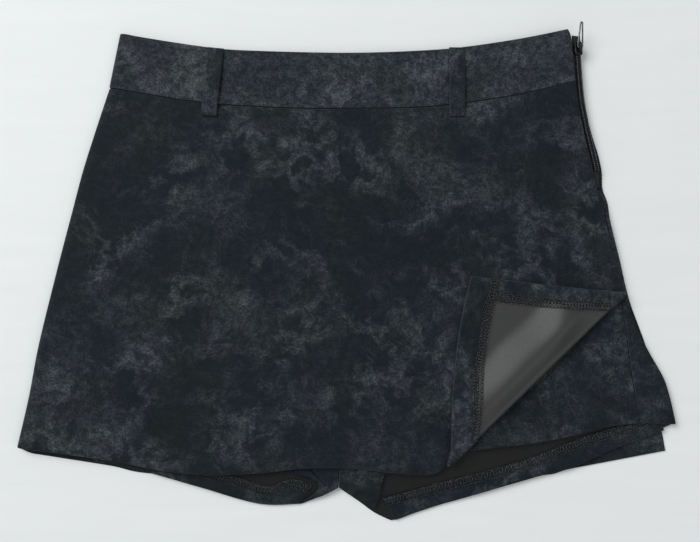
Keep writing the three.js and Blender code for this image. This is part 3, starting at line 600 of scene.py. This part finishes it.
def ladder_stitch(name, places, lay, lift):
    """A coverstitch's looper side: two rows of loops with threads crossing between them."""
    line, along, aside, up = seam_line(places, lay, lift, LADDER["pitch"] / 2)
    half = LADDER["width"] / 2
    # Places along in pitches, and aside and up in millimetres: a loop of one needle's line, and the
    # looper's slanting thread to the other line.
    loop = [(-0.1, half, 0.05), (0.25, half + 0.45, 0.3), (0.6, half + 0.25, 0.42),
            (0.95, half - 0.3, 0.3), (1.05, half - 0.2, 0.05)]
    slant = [(0.1, half, 0.1), (0.2, half * 0.5, 0.3), (0.45, 0, 0.42), (0.7, -half * 0.5, 0.3),
             (0.85, -half, 0.1)]
    paths, facings = [], []
    for k in range(0, len(line) - 3, 2):
        pitch = np.linalg.norm(line[k + 2] - line[k])
        for side in (-1, 1):
            for shape in (loop, slant):
                paths.append([line[k] + pitch * a * along[k] + side * b * aside[k] + c * up[k]
                              for a, b, c in shape])
                facings.append([up[k]] * len(shape))
    return thread_mesh(name, paths, facings)


def lay_on_back_leg(cut):
    """The back legs' middle surface where it isn't rolled."""
    return np.column_stack([cut, back_leg_height(cut)])


band_lift = CLOTH / 2 + HEM_GAP + TURNED_HEM / 2
for node, (upper, lower) in LEG_BANDS.items():
    band_cut = panel(edge(([upper[0], lower[0]], 8)), edge(([upper[-1], lower[-1]], 8)),
                     np.linspace(0, 1, 81), upper[1:-1], lower[1:-1])
    band = sew(node + "_band", [band_cut], lay_on_back_leg, [skirt_cloth], TURNED_HEM, band_lift)
    on_garment(band, node)
    leg = bpy.data.objects["shorts_back_" + node.split("_")[-1] + "_leg"]
    ladder = ladder_stitch(node + "_ladder_stitch", below(upper, LADDER["width"] / 2), lay_on_back_leg,
                           band_lift + TURNED_HEM / 2)
    on_garment(ladder)


# Front legs of the shorts
# The two front quarters lie over the back ones and meet at the centre front seam. Their hems turn in
# below the crotch, and the coverstitch of each hem shows on the outside as two rows of stitches.
RIGHT_FRONT_TIP = (21.5, -186.5)
LEFT_FRONT_TIP = (-34, -180.5)
RIGHT_FRONT_INSEAM = [(8, -179.4)]
RIGHT_FRONT_LEG_HEM = [(201, -123.5), (176, -129.5), (151, -135), (125, -137.5), (97, -138), (72, -143),
                       (46, -148.5)]
RIGHT_LOBE = [(46, -148.5), (33, -155.5), (28, -163), (24.5, -177), RIGHT_FRONT_TIP]
LEFT_FRONT_LEG_HEM = [(-242, -126), (-140, -146), (-60, -147), (-30, -152)]
LEFT_LOBE = [(-30, -152), (-24, -161), (-22.5, -169.5), (-27, -176), LEFT_FRONT_TIP]
LEG_CREASES = [
    # x, y, half length, half width, turn in degrees, rise in millimetres
    (205, -60, 46, 6, 78, 0.5),
    (150, -75, 40, 9, 35, 0.45),
    (185, -105, 30, 6, 20, -0.35),
    (110, -118, 34, 7, 25, 0.4),
    (185, -124, 48, 9, 14, 2.6),
    (110, -138, 36, 8, 0, 2.4),
    (8, -164, 15, 5, 62, 0.8),
    (-14, -162, 14, 5, 118, 0.6),
]
STITCH = {"pitch": 3.0, "length": 2.1}
STITCH_THREAD = 0.13
LEG_HEM_STITCHES = 15


def lay_front_leg(cut):
    """The front legs' middle surface."""
    return np.column_stack([cut, front_leg_height(cut) + rises(cut, LEG_CREASES)])


def running_stitches(name, places, lay, lift, pitch=STITCH["pitch"], length=STITCH["length"]):
    """A row of straight stitches, each sunk into the cloth at its ends."""
    line, _, _, up = seam_line(places, lay, lift, pitch)
    # Places along in stitch lengths and up in millimetres.
    steps = [(0, -0.25), (0.18, -0.02), (0.5, 0.05), (0.82, -0.02), (1, -0.25)]
    paths, facings = [], []
    for k in range(len(line) - 1):
        pitch_here = line[k + 1] - line[k]
        paths.append([line[k] + pitch_here * a * length / pitch + b * up[k] for a, b in steps])
        facings.append([up[k]] * len(steps))
    return thread_mesh(name, paths, facings, STITCH_THREAD)


def coverstitch_rows(name, hem, lay, above):
    """The two fine rows that show outside a turned hem, where a coverstitch holds it."""
    rows = []
    for number, height in enumerate((above, above - LADDER["width"])):
        rows.append(running_stitches(f"{name}_{number}", below(hem, -height), lay, CLOTH / 2))
        on_garment(rows[-1])
    return rows


front_seam = leg_seam(-SEAM_GAP / 2)
front_left_cut = panel(edge((SHORTS_LEFT_SIDE, 65), (LEFT_FRONT_LEG_HEM, 25), (LEFT_LOBE, 20)),
                       inner_edge(-SEAM_GAP / 2, LEFT_INSEAM, LEFT_FRONT_TIP), leg_across, SHORTS_TOP_LEFT)
right_front_hem = [tuple(front_seam[-1]), *RIGHT_FRONT_LEG_HEM]
front_right_cut = panel(inner_edge(SEAM_GAP / 2, RIGHT_FRONT_INSEAM, RIGHT_FRONT_TIP),
                        np.vstack([edge((SHORTS_RIGHT_SIDE, 24)), front_seam,
                                   edge((right_front_hem, 25), (RIGHT_LOBE, 20))[1:]]),
                        leg_across, SHORTS_TOP_RIGHT)
front_legs = {
    "shorts_front_left": (front_left_cut, LEFT_FRONT_LEG_HEM),
    "shorts_front_right": (front_right_cut, right_front_hem),
}
for node, (cut, hem) in front_legs.items():
    leg = sew(node + "_leg", [cut], lay_front_leg, [skirt_cloth, leg_satin_painted_shade])
    on_garment(leg, node)
    rows = coverstitch_rows(node + "_hem_stitches", hem[:-1], lay_front_leg, LEG_HEM_STITCHES)


# Skirt front
# One panel lies over the shorts, from the waist seam to the hem, and curls down along the left side.
# Its right edge runs beside the zip to a slit. Below that the corner is turned up and over on a soft
# roll, so that the satin reverse and the turned hems show.
FRONT_HEM = [(-256, -139), (-182.5, -149), (-147, -156), (-112.5, -159.5), (-87, -159.5), (-61, -157.8),
             (-34, -154.8), (2, -154.6), (34, -158), (54, -159.6), (68, -158.4)]
ZIP_SIDE = [(181.8, 149), (183.4, 132), (186.3, 115), (188.6, 102.5), (191.1, 91), (193.8, 77.5), (196.8, 62),
            (204.7, 29.6), (212.2, 2)]
BAND_LEFT = [(-182.5, 189), (-190.5, 144)]
SIDE_ROLL = 7
SIDE_LEAN = 0.97
CORNER_FOLD = ((217.5, -20.5), (77.5, -153.7))
CORNER_BEND = (1.3, 3.6)
CORNER_SETTLES = {"starts": 9, "takes": 30, "height": CLOTH + 0.5}
CORNER_LIES = (96.5, -6.5)
CORNER_HEM = [(89, -37.5), (83.5, -72), (80.5, -106.5), (79, -138)]
CORNER_SIDE = [(135, -11.2), (175, -16)]
SKIRT_CREASES = [
    # x, y, half length, half width, turn in degrees, rise in millimetres
    (-150, -40, 60, 7, -48, 0.30),
    (-95, 20, 48, 8, -40, 0.32),
    (-20, -30, 70, 9, 35, 0.28),
    (60, 30, 55, 8, 48, 0.34),
    (120, 70, 40, 8, -35, 0.30),
    (30, -110, 45, 7, 62, 0.36),
    (-70, -120, 40, 6, 80, 0.34),
    (-180, -110, 44, 7, 75, 0.36),
    (150, 20, 40, 7, 60, 0.30),
    (0, 90, 60, 8, 8, 0.26),
    (-230, -60, 60, 10, 72, 0.9),
    (6, -156, 58, 15, 0, 2.8),
    (-110, -158, 50, 10, 0, 0.8),
]
CORNER_DOME = {"reach": 12, "rise": 4.4, "fades": 28}
CORNER_SWELLS_GROW = 14
CORNER_SWELLS = [
    (166, -32, 34, 14, 88, 4.2),
    (126, -96, 24, 10, 45, 0.8),
    (112, -50, 30, 9, 84, -0.5),
]
HEM_STITCHES = 15
STITCHES_START = (-252, -139.3)


def roll_left(at, middle, foot, thickness):
    """Curls the left edge of an upper layer down onto the margin of the layer on the table."""
    left = np.interp(at[:, 1], *left_outline[::-1, ::-1].T)
    inside = SIDE_LEAN * (at[:, 0] - left)
    angle = np.clip(inside / SIDE_ROLL, 0, 1) * math.pi / 2
    reach = thickness / 2 + (SIDE_ROLL - thickness / 2) * (1 - np.cos(angle))
    across = np.where(inside < SIDE_ROLL, at[:, 0] + reach - inside, at[:, 0])
    return np.column_stack([across, at[:, 1], foot + (middle - foot) * np.sin(angle)])


def corner_bend(share):
    return CORNER_BEND[0] + (CORNER_BEND[1] - CORNER_BEND[0]) * np.sin(math.pi * share)


left_outline = np.vstack([smooth_line(BAND_LEFT, np.linspace(0, 1, 9)),
                          smooth_line(SKIRT_LEFT, np.linspace(0, 1, 81))[1:]])
corner_fold = Fold(*CORNER_FOLD, radius=corner_bend)


def lay_skirt_front(cut):
    """The skirt front's middle surface, with its corner turned over."""
    at, rise, over = corner_fold.lay(cut)
    # Past the roll the cloth goes on rising as a dome, and then settles on its own panel.
    dome = np.sin(np.clip(over / CORNER_DOME["reach"], 0, 1) * math.pi / 2)
    dome *= 1 - ease((over - CORNER_DOME["reach"]) / CORNER_DOME["fades"])
    dome *= CORNER_DOME["rise"] * np.sin(math.pi * corner_fold.share(at)) ** 0.7
    down = ease((over - CORNER_SETTLES["starts"]) / CORNER_SETTLES["takes"])
    settled = rise - (rise - CORNER_SETTLES["height"]) * down + dome
    settled += rises(at, CORNER_SWELLS) * ease(over / CORNER_SWELLS_GROW)
    middle = LEVEL["skirt_front"] * (1 + rises(at, SWELLS)) + CLOTH / 2 + rises(at, SKIRT_CREASES)
    return roll_left(at, middle + np.where(over > 0, settled, rise), CLOTH + LAYER_GAP, CLOTH)


corner_steps = (36, 44)
corner_shares = np.linspace(0, 1, sum(corner_steps) + 1)
corner_line = corner_fold.rolled(corner_shares, 0)
corner_foot = corner_fold.lay(corner_fold.rolled(corner_shares, math.pi))[0]
front_left_edge = edge((below(SKIRT_LEFT), 60 + sum(corner_steps)))
front_right_edge = np.vstack([edge((below(ZIP_SIDE) + [tuple(corner_line[0])], 60)), corner_line[1:]])
front_across = np.concatenate([np.linspace(0, 0.03, 10)[:-1], np.linspace(0.03, 1, 150)])
front_cut = panel(front_left_edge, front_right_edge, front_across, below(WAIST_SEAM)[1:-1], FRONT_HEM[1:])
corner_edge = edge(([tuple(corner_foot[0]), *CORNER_SIDE[::-1], CORNER_LIES], corner_steps[0]),
                   ([CORNER_LIES, *CORNER_HEM, tuple(corner_foot[-1])], corner_steps[1]))
corner_across = np.linspace(0, 1, 45)[None, :, None]
corner_lies = corner_foot[:, None] + corner_across * (corner_edge - corner_foot)[:, None]
corner_roll = np.stack([corner_fold.rolled(corner_shares, angle) for angle in roll_angles], axis=1)
corner_cut = np.concatenate([corner_roll, corner_fold.flatten(corner_lies)], axis=1)
skirt_front = sew("skirt_front_panel", [front_cut, corner_cut], lay_skirt_front,
                  [skirt_cloth, reverse_cloth])
on_garment(skirt_front, "skirt_front")


# Turned hems of the skirt front
# The hem, 19 mm wide, and the slit's side, 14 mm wide, are folded once to the inside. The coverstitch
# that holds each one covers its raw edge, and the two cross at the corner.
TURNUPS = {
    "skirt_hem_turnup": {
        "inner": ([(115.6, -9.3), (108, -42), (102.7, -74), (99.8, -107)], 0.843),
        "outer": ([(96.9, -7), (89.3, -37.5), (83.8, -72), (80.8, -106.5), (79.3, -138)], 0.99),
    },
    "skirt_side_turnup": {
        "inner": ([(113, -23.3), (134, -25.6), (173, -30)], 0.09),
        "outer": ([(116.3, -9.3), (135, -11.5), (175, -16.3)], 0.01),
    },
}


def lying_line(lies, meets):
    """A line that is seen on the turned corner, on the flat cut, ended halfway round the roll."""
    ends = [tuple(corner_fold.rolled(np.array(meets), angle)) for angle in (math.pi, math.pi / 2)]
    return [tuple(corner_fold.flatten(np.array(place))) for place in lies], ends


def turnup_edge(lies, meets):
    lying, ends = lying_line(lies, meets)
    return edge((lying + ends[:1], 60), (ends, 8))


on_reverse = -(CLOTH / 2 + HEM_GAP + TURNED_HEM / 2)
skirt_trims = []
for node, lines in TURNUPS.items():
    upright = node == "skirt_hem_turnup"
    inner_line, outer_line = turnup_edge(*lines["inner"]), turnup_edge(*lines["outer"])
    sides = (inner_line, outer_line) if upright else (outer_line, inner_line)
    band_cut = panel(*sides, np.linspace(0, 1, 9))
    band = sew(node + "_band", [band_cut], lay_skirt_front, [skirt_cloth], TURNED_HEM, on_reverse)
    on_garment(band, node)
    lying, ends = lying_line(*lines["inner"])
    ladder = ladder_stitch(node + "_ladder_stitch", lying + ends[:1], lay_skirt_front,
                           on_reverse - TURNED_HEM / 2)
    on_garment(ladder)
    skirt_trims += [band, ladder]
skirt_trims += coverstitch_rows("skirt_hem_stitches", [STITCHES_START, *FRONT_HEM[1:]], lay_skirt_front,
                                HEM_STITCHES)


# Waistband
# Two stiffened bands of the same faux leather, doubled, meet the panels at the waist seam. The front
# one curls down at the left side seam, and fine stitches run along it just above the waist seam.
WAISTBAND = 2.2
BACK_BAND_LOWER = 1.5
WAIST_TOP = [(-182.5, 189), (-166, 185), (-107.5, 176), (-70, 173.5), (-6, 172), (42, 173), (87, 176),
             (138, 183.5), (176.4, 191.4)]
BACK_BAND_RIGHT = [(178.3, 184.5), (184.8, 165), (188.5, 149.5)]
BAND_RIGHT = [(176.4, 191.4), (178.9, 185), (180.4, 167), (181.8, 149)]
WAIST_STITCHES = 1.6


def front_band_height(at):
    return LEVEL["front_band"] * (1 + rises(at, SWELLS)) + WAISTBAND / 2


def lay_front_band(cut):
    """The front waistband's middle surface."""
    return roll_left(cut, front_band_height(cut), WAISTBAND + LAYER_GAP, WAISTBAND)


def lay_back_band(cut):
    """The back waistband's middle surface."""
    return np.column_stack([cut, np.full(len(cut), WAISTBAND / 2)])


back_top = below(WAIST_TOP, BACK_BAND_LOWER)
back_band_cut = panel(edge(([back_top[0], BAND_LEFT[1]], 14)), edge((BACK_BAND_RIGHT, 14)),
                      np.linspace(0, 1, 121), back_top[1:-1], WAIST_SEAM[1:-1])
band_across = np.concatenate([np.linspace(0, 0.04, 9)[:-1], np.linspace(0.04, 1, 150)])
front_band_cut = panel(edge((BAND_LEFT, 20)), edge((BAND_RIGHT, 20)), band_across, WAIST_TOP[1:-1],
                       WAIST_SEAM[1:-1])
band_cloth = brushed_cloth("brushed_faux_leather_waistband", rubbed=0.36)
bands = {
    "waistband_back": (back_band_cut, lay_back_band, False),
    "waistband_front": (front_band_cut, lay_front_band, True),
}
for node, (cut, lay, face_up) in bands.items():
    band = sew(node + "_band", [cut], lay, [band_cloth], WAISTBAND, face_up=face_up)
    on_garment(band, node)
waist_stitches = running_stitches("waist_seam_stitches", below(WAIST_SEAM, -WAIST_STITCHES),
                                  lay_front_band, WAISTBAND / 2)
on_garment(waist_stitches)


# Belt loops
# Two narrow straps of the same faux leather, folded so that no raw edge shows. Each is caught in the
# waistband's top edge and sewn down by its turned lower end, just past the waist seam.
BELT_LOOP = 1.5
LOOP_WIDTH = 12.2
LOOP_BOW = 1.2
LOOP_STEP = 0.5
LOOP_PAST_SEAM = 0.84
TACKS_UP = (0.035, 0.08)
TACK_STITCH = {"pitch": 1.9, "length": 1.6}
BELT_LOOPS = {
    "belt_loop_left": ((-104.3, 175.2), (-109.6, 120.5)),
    "belt_loop_right": ((87.2, 175.6), (87, 120)),
}
loop_cloth = brushed_cloth("brushed_faux_leather_loops", rubbed=0.12)


def loop_layer(top, bottom):
    """The middle surface of a belt loop that stands off the waistband between its two ends."""
    run = np.subtract(bottom, top)

    def lay(cut):
        down = (cut - top) @ run / (run @ run)
        standing = LAYER_GAP + BELT_LOOP / 2 + LOOP_BOW * np.sin(math.pi * np.clip(down, 0, 1))
        step = LOOP_STEP * ease((down - LOOP_PAST_SEAM) / (1 - LOOP_PAST_SEAM))
        return np.column_stack([cut, front_band_height(cut) + WAISTBAND / 2 + standing - step])

    return lay


band_trims = [waist_stitches]
for node, (top, bottom) in BELT_LOOPS.items():
    run = np.subtract(bottom, top)
    aside = np.array([run[1], -run[0]]) / math.hypot(*run) * LOOP_WIDTH / 2
    lay_loop = loop_layer(top, bottom)
    loop_cut = panel(edge(([tuple(top + aside), tuple(bottom + aside)], 40)),
                     edge(([tuple(top - aside), tuple(bottom - aside)], 40)), np.linspace(0, 1, 11))
    loop = sew(node + "_strap", [loop_cut], lay_loop, [loop_cloth], BELT_LOOP)
    on_garment(loop, node)
    tacks = []
    for number, up in enumerate(TACKS_UP):
        across = [tuple(bottom - run * up + aside * side) for side in (0.75, 0.25, -0.25, -0.75)]
        tack = running_stitches(f"{node}_tack_{number}", across, lay_loop, BELT_LOOP / 2,
                                TACK_STITCH["pitch"], TACK_STITCH["length"])
        on_garment(tack)
        tacks.append(tack)
    band_trims += [loop, *tacks]


# Zip
# A closed nylon coil zip runs down the side from the waistband to the slit. Its woven tape leans out
# between the front and back edges, and the coil's two rows of teeth stand on it under sewing thread.
ZIP_LINE = [(183.7, 186.5), (183.6, 177), (184, 168), (184.9, 149), (186.3, 132.4), (189.1, 115.5),
            (191.5, 103), (194, 91.5), (196.8, 77.6), (198.4, 64)]
ZIP_LEAN = math.radians(15)
ZIP_HEIGHT = 4.1
TAPE_THICKNESS = 1.0
COIL = {"top": 0.055, "end": 0.9, "pitch": 1.7, "half": 1.95, "low": 0.55, "high": 2.2, "wire": 0.42}
# A tooth's places aside and off the tape in millimetres. Those of the thread over it are aside in half
# widths of the coil, along in pitches and off the tape in millimetres.
TOOTH = [(COIL["half"], COIL["low"]), (COIL["half"] + 0.1, 1.2), (COIL["half"] * 0.75, COIL["high"] - 0.3),
         (COIL["half"] * 0.3, COIL["high"]), (-0.25, COIL["high"] - 0.15), (-0.55, COIL["high"] - 0.6)]
GUARD_THREAD = 0.4
GUARD = [(0.72, -0.26, 1.9), (0.72, 0, 2.3), (0.72, 0.26, 1.9)]
zip_length = np.linalg.norm(np.diff(smooth_line(ZIP_LINE, np.linspace(0, 1, 200)), axis=0), axis=1).sum()


def zip_frame(share):
    """A place on the zip, with the ways across it, up it and off its face."""
    before, place, after = smooth_line(ZIP_LINE, [max(share - 0.004, 0), share, min(share + 0.004, 1)])
    down = (after - before) / np.linalg.norm(after - before)
    up = np.array([-down[0], -down[1], 0])
    level = np.array([up[1], -up[0], 0])
    side = level * math.cos(ZIP_LEAN) - (0, 0, math.sin(ZIP_LEAN))
    face = level * math.sin(ZIP_LEAN) + (0, 0, math.cos(ZIP_LEAN))
    return np.array([*place, ZIP_HEIGHT]), side, up, face


def woven_tape(name):
    """Black polyester tape with a fine rib along it."""
    finish, face = new_finish(name)
    along = stretched(finish, own_places(finish), 8, 1.0, 1.0)
    ribs = add_node(finish, "TexWave", {"Vector": along, "Scale": 420.0}).outputs["Fac"]
    set_sockets(face, {
        "Base Color": blend_colours(finish, ribs, (0.006, 0.006, 0.0065, 1), (0.014, 0.014, 0.015, 1)),
        "Roughness": 0.85,
        "Normal": bumped(finish, ribs, 0.0002),
    })
    return finish


def coil_nylon(name):
    """Black nylon wire, smooth, with a dull shine."""
    finish, face = new_finish(name)
    at = own_places(finish)
    dark, pale = (0.003, 0.003, 0.0035, 1), (0.007, 0.007, 0.008, 1)
    set_sockets(face, {
        "Base Color": blend_colours(finish, noise(finish, at, 300, 2), dark, pale),
        "Roughness": 0.4,
        "Specular IOR Level": 0.3,
        "Normal": bumped(finish, noise(finish, at, 900, 2), 0.00003),
    })
    return finish


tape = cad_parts["zip_tape"]
tape_finish = woven_tape("woven_tape")
for holder in tape.material_slots:
    holder.link = "OBJECT"
    holder.material = tape_finish

teeth, tooth_facings, guards, guard_facings = [], [], [], []
tooth_count = round(zip_length * (COIL["end"] - COIL["top"]) / COIL["pitch"])
for k in range(2 * tooth_count):
    share = COIL["top"] + (COIL["end"] - COIL["top"]) * (k + 0.5) / (2 * tooth_count)
    place, side, up, face = zip_frame(share)
    place = place + face * TAPE_THICKNESS / 2
    side = side if k % 2 else -side
    teeth.append([place + side * a + face * b for a, b in TOOTH])
    tooth_facings.append([up] * len(TOOTH))
    guards.append([place + side * a * COIL["half"] + up * b * COIL["pitch"] + face * c for a, b, c in GUARD])
    guard_facings.append([face] * len(GUARD))
coil = thread_mesh("zip_coil_teeth", teeth, tooth_facings, COIL["wire"], 8)
coil.data.materials[0] = coil_nylon("coil_nylon")
on_garment(coil, "zip_chain")
guard_thread = thread_mesh("zip_coil_thread", guards, guard_facings, GUARD_THREAD)
# The coil's sewing thread is made sixteen times paler than black thread, a painted highlight for the glints
# on its stitches.
guard_thread.data.materials[0] = black_thread("zip_sewing_thread_painted_glints", 16)
on_garment(guard_thread)


# Zip slider and pull
# The slider is a die-cast body in gunmetal enamel: a plate with sides that hold the coil, and a bridge
# over it. The pull is a closed loop whose near bar swings under the bridge.
SLIDER = {"place": 0.09, "length": 11, "top_width": 6.8, "low_width": 6.0, "corner": 1.14, "foot": 1.1,
          "plate": 3.1, "top": 4.2, "shoulder": 0.45, "nose": 0.72}
FLANGE = {"half": 0.35, "low": -3.7, "high": 3.6, "low_inset": 0.1, "high_inset": 0.5, "into_plate": 0.3}
BRIDGE = {"reach": 3.1, "top": 7.1, "width": 2.2, "thickness": 0.45, "sunk": 0.9, "spring": 0.12}
PULL = {"length": 20, "width": 5.2, "tip": 2.9, "shoulder": 3.5, "corner": 0.75, "hinge": 5.8,
        "raised": math.radians(12), "wire": (0.68, 0.56)}


def gunmetal(name):
    """Dark gunmetal enamel over cast metal, with a painted highlight along its edges."""
    finish, face = new_finish(name)
    at = own_places(finish)
    # Painted highlight: sharp edges are made bright, standing for glints on the metal.
    corners = between(finish, add_node(finish, "NewGeometry", {}).outputs["Pointiness"], 0.5, 0.6)
    set_sockets(face, {
        "Base Color": blend_colours(finish, corners, (0.03, 0.031, 0.034, 1), (0.32, 0.32, 0.33, 1)),
        "Metallic": 0.9,
        "Roughness": between(finish, noise(finish, at, 500, 3), 0.35, 0.65, 0.22, 0.38),
        "Normal": bumped(finish, noise(finish, at, 1400, 2), 0.00002),
    })
    return finish


metal = gunmetal("gunmetal_enamel")


def sweep(rings, closed=False):
    """A skin over a row of rings: its points and its faces."""
    number = np.arange(len(rings) * len(rings[0])).reshape(len(rings), -1)
    a, b = (number, np.roll(number, -1, axis=0)) if closed else (number[:-1], number[1:])
    walls = np.stack([a, b, np.roll(b, -1, axis=1), np.roll(a, -1, axis=1)], axis=-1).reshape(-1, 4)
    ends = [] if closed else [number[0].tolist(), number[-1, ::-1].tolist()]
    return np.asarray(rings).reshape(-1, 3), walls.tolist() + ends


def rounded_corners(corners, radius, steps=6):
    """A closed outline with its corners rounded, going round to the left."""
    outline = []
    for k, corner in enumerate(corners):
        corner = np.array(corner, float)
        before, after = (np.array(corners[(k + way) % len(corners)], float) - corner for way in (-1, 1))
        before, after = (way / np.linalg.norm(way) for way in (before, after))
        half = math.acos(np.clip(before @ after, -1, 1)) / 2
        middle = corner + (before + after) / np.linalg.norm(before + after) * radius / math.sin(half)
        start, end = (corner + way * radius / math.tan(half) - middle for way in (before, after))
        for share in np.linspace(0, 1, steps + 1):
            arm = start * (1 - share) + end * share
            outline.append(middle + arm / np.linalg.norm(arm) * radius)
    return np.array(outline)


def ways_in(outline):
    """The way in from each point of a closed outline that goes round to the left."""
    around = np.roll(outline, -1, axis=0) - np.roll(outline, 1, axis=0)
    return np.column_stack([-around[:, 1], around[:, 0]]) / np.linalg.norm(around, axis=1, keepdims=True)


def cast_plate(outline, low, high, round_off, hold):
    """A plate with softened edges: an outline lifted through rings that draw in at its foot and top."""
    inward = ways_in(outline)
    turns = np.linspace(0, math.pi / 2, 4)
    levels = [(low + round_off * (1 - math.sin(t)), round_off * (1 - math.cos(t))) for t in turns[::-1]]
    levels += [(high - round_off * (1 - math.sin(t)), round_off * (1 - math.cos(t))) for t in turns]
    return sweep([[hold(x, y, z) for x, y in outline + inward * inset] for z, inset in levels])


def joined(name, parts):
    """One object from several closed parts."""
    points, faces = [], []
    for part_points, part_faces in parts:
        start = sum(len(p) for p in points)
        points.append(np.asarray(part_points))
        faces += [[start + v for v in face] for face in part_faces]
    return new_mesh(name, np.vstack(points), faces, [metal])


place, side, up, face = zip_frame(SLIDER["place"])


def on_slider(x, y, z):
    """A place given across the slider, up it and off the tape."""
    return place + side * x + up * y + face * z


half_length = SLIDER["length"] / 2
wide, narrow = SLIDER["top_width"] / 2, SLIDER["low_width"] / 2
shoulder, nose = half_length * SLIDER["shoulder"], wide * SLIDER["nose"]
plate_outline = rounded_corners([(-narrow, -half_length), (narrow, -half_length), (wide, shoulder),
                                 (nose, half_length), (-nose, half_length), (-wide, shoulder)],
                                SLIDER["corner"])
slider_parts = [cast_plate(plate_outline, SLIDER["plate"], SLIDER["top"], 0.4, on_slider)]
for hand in (-1, 1):
    low_x, high_x = hand * (narrow - FLANGE["low_inset"]), hand * (wide - FLANGE["high_inset"])
    half, low, high = FLANGE["half"], FLANGE["low"], FLANGE["high"]
    flange = rounded_corners([(low_x - half, low), (low_x + half, low), (high_x + half, high),
                              (high_x - half, high)], 0.3)
    slider_parts.append(cast_plate(flange, SLIDER["foot"], SLIDER["plate"] + FLANGE["into_plate"], 0.2,
                                   on_slider))
bridge_rings = []
bridge_foot = SLIDER["top"] - BRIDGE["sunk"]
for angle in np.linspace(BRIDGE["spring"] * math.pi, (1 - BRIDGE["spring"]) * math.pi, 17):
    out = np.array([math.cos(angle), math.sin(angle)])
    centre = np.array([BRIDGE["reach"], BRIDGE["top"] - bridge_foot]) * out + (0, bridge_foot)
    ring = []
    for turn in np.linspace(0, 2 * math.pi, 12, endpoint=False):
        square = (abs(math.cos(turn)) ** 4 + abs(math.sin(turn)) ** 4) ** -0.25
        x = math.cos(turn) * square * BRIDGE["width"] / 2
        y, z = centre + out * math.sin(turn) * square * BRIDGE["thickness"]
        ring.append(on_slider(x, y, z))
    bridge_rings.append(ring)
slider_parts.append(sweep(bridge_rings))
slider = joined("zip_slider_body", slider_parts)
on_garment(slider, "zip_slider")

hang = place + face * PULL["hinge"]
lift_up = up * math.cos(PULL["raised"]) + face * math.sin(PULL["raised"])
lift_face = face * math.cos(PULL["raised"]) - up * math.sin(PULL["raised"])
wire_wide, wire_deep = PULL["wire"]
near, tip = PULL["width"] / 2 - wire_wide, PULL["tip"] / 2 - wire_wide
far = PULL["length"] - wire_wide
pull_line = rounded_corners([(-near, 0), (near, 0), (near, PULL["shoulder"]), (tip, far), (-tip, far),
                             (-near, PULL["shoulder"])], PULL["corner"])
pull_rings = []
for (x, y), (in_x, in_y) in zip(pull_line, ways_in(pull_line)):
    ring = []
    for turn in np.linspace(0, 2 * math.pi, 12, endpoint=False):
        a, b = wire_wide * math.cos(turn), wire_deep * math.sin(turn)
        ring.append(hang + side * (x - in_x * a) + lift_up * (y - in_y * a) + lift_face * b)
    pull_rings.append(ring)
pull = joined("zip_pull_loop", [sweep(pull_rings, closed=True)])
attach(pull, "pull")
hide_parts("zip_pull")


# Table, light and camera
# The garment lies on a plain pale table under soft light from the upper left, and is seen from above.
TABLE = {"half": 1500, "below": 0.2}
EYE = {"lens": 40, "sensor": 36, "away": 615.6, "over": (2.2, -2.2, 0), "elevation": math.radians(86)}

table_top, table_face = new_finish("pale_table")
table_places = stretched(table_top, own_places(table_top), 0, 1.0, 0.12)
grain_lines = noise(table_top, table_places, 9, 4, 0.6)
set_sockets(table_face, {
    "Base Color": blend_colours(table_top, grain_lines, (0.735, 0.75, 0.75, 1), (0.8, 0.815, 0.81, 1)),
    "Roughness": 0.55,
    "Specular IOR Level": 0.3,
})
table_corners = [(x * TABLE["half"], y * TABLE["half"], -TABLE["below"])
                 for x, y in ((-1, -1), (1, -1), (1, 1), (-1, 1))]
new_mesh("table", table_corners, [[0, 1, 2, 3]], [table_top])


def softbox(name, at, size, power, colour):
    """A square soft light that faces the garment."""
    light = bpy.data.lights.new(name, "AREA")
    light.shape, light.size, light.size_y = "RECTANGLE", size, size
    light.energy, light.color = power, colour
    lamp = bpy.data.objects.new(name, light)
    lamp.location = at
    lamp.rotation_mode = "QUATERNION"
    lamp.rotation_quaternion = (-Vector(at)).to_track_quat("-Z", "Y")
    bpy.context.scene.collection.objects.link(lamp)


softbox("window_softbox", (-2.1, 1.5, 2.6), 2.1, 108, (0.985, 1.0, 1.0))
softbox("room_fill", (1.5, -1.1, 2.3), 2.2, 18, (1.0, 0.985, 0.95))
room = bpy.data.worlds.new("room")
room.use_nodes = True
room.node_tree.nodes["Background"].inputs["Color"].default_value = (0.93, 0.97, 1.0, 1)
room.node_tree.nodes["Background"].inputs["Strength"].default_value = 0.36
bpy.context.scene.world = room
bpy.context.scene.view_settings.view_transform = "Standard"

eye = bpy.data.cameras.new("eye")
eye.lens, eye.sensor_width = EYE["lens"], EYE["sensor"]
eye.clip_start, eye.clip_end = 0.01, 20
camera = bpy.data.objects.new("eye", eye)
over = Vector(EYE["over"]) * MM
away = Vector((0, -math.cos(EYE["elevation"]), math.sin(EYE["elevation"]))) * EYE["away"] * MM
camera.location = over + away
camera.rotation_mode = "QUATERNION"
camera.rotation_quaternion = (-away).to_track_quat("-Z", "Y")
bpy.context.scene.collection.objects.link(camera)
bpy.context.scene.camera = camera
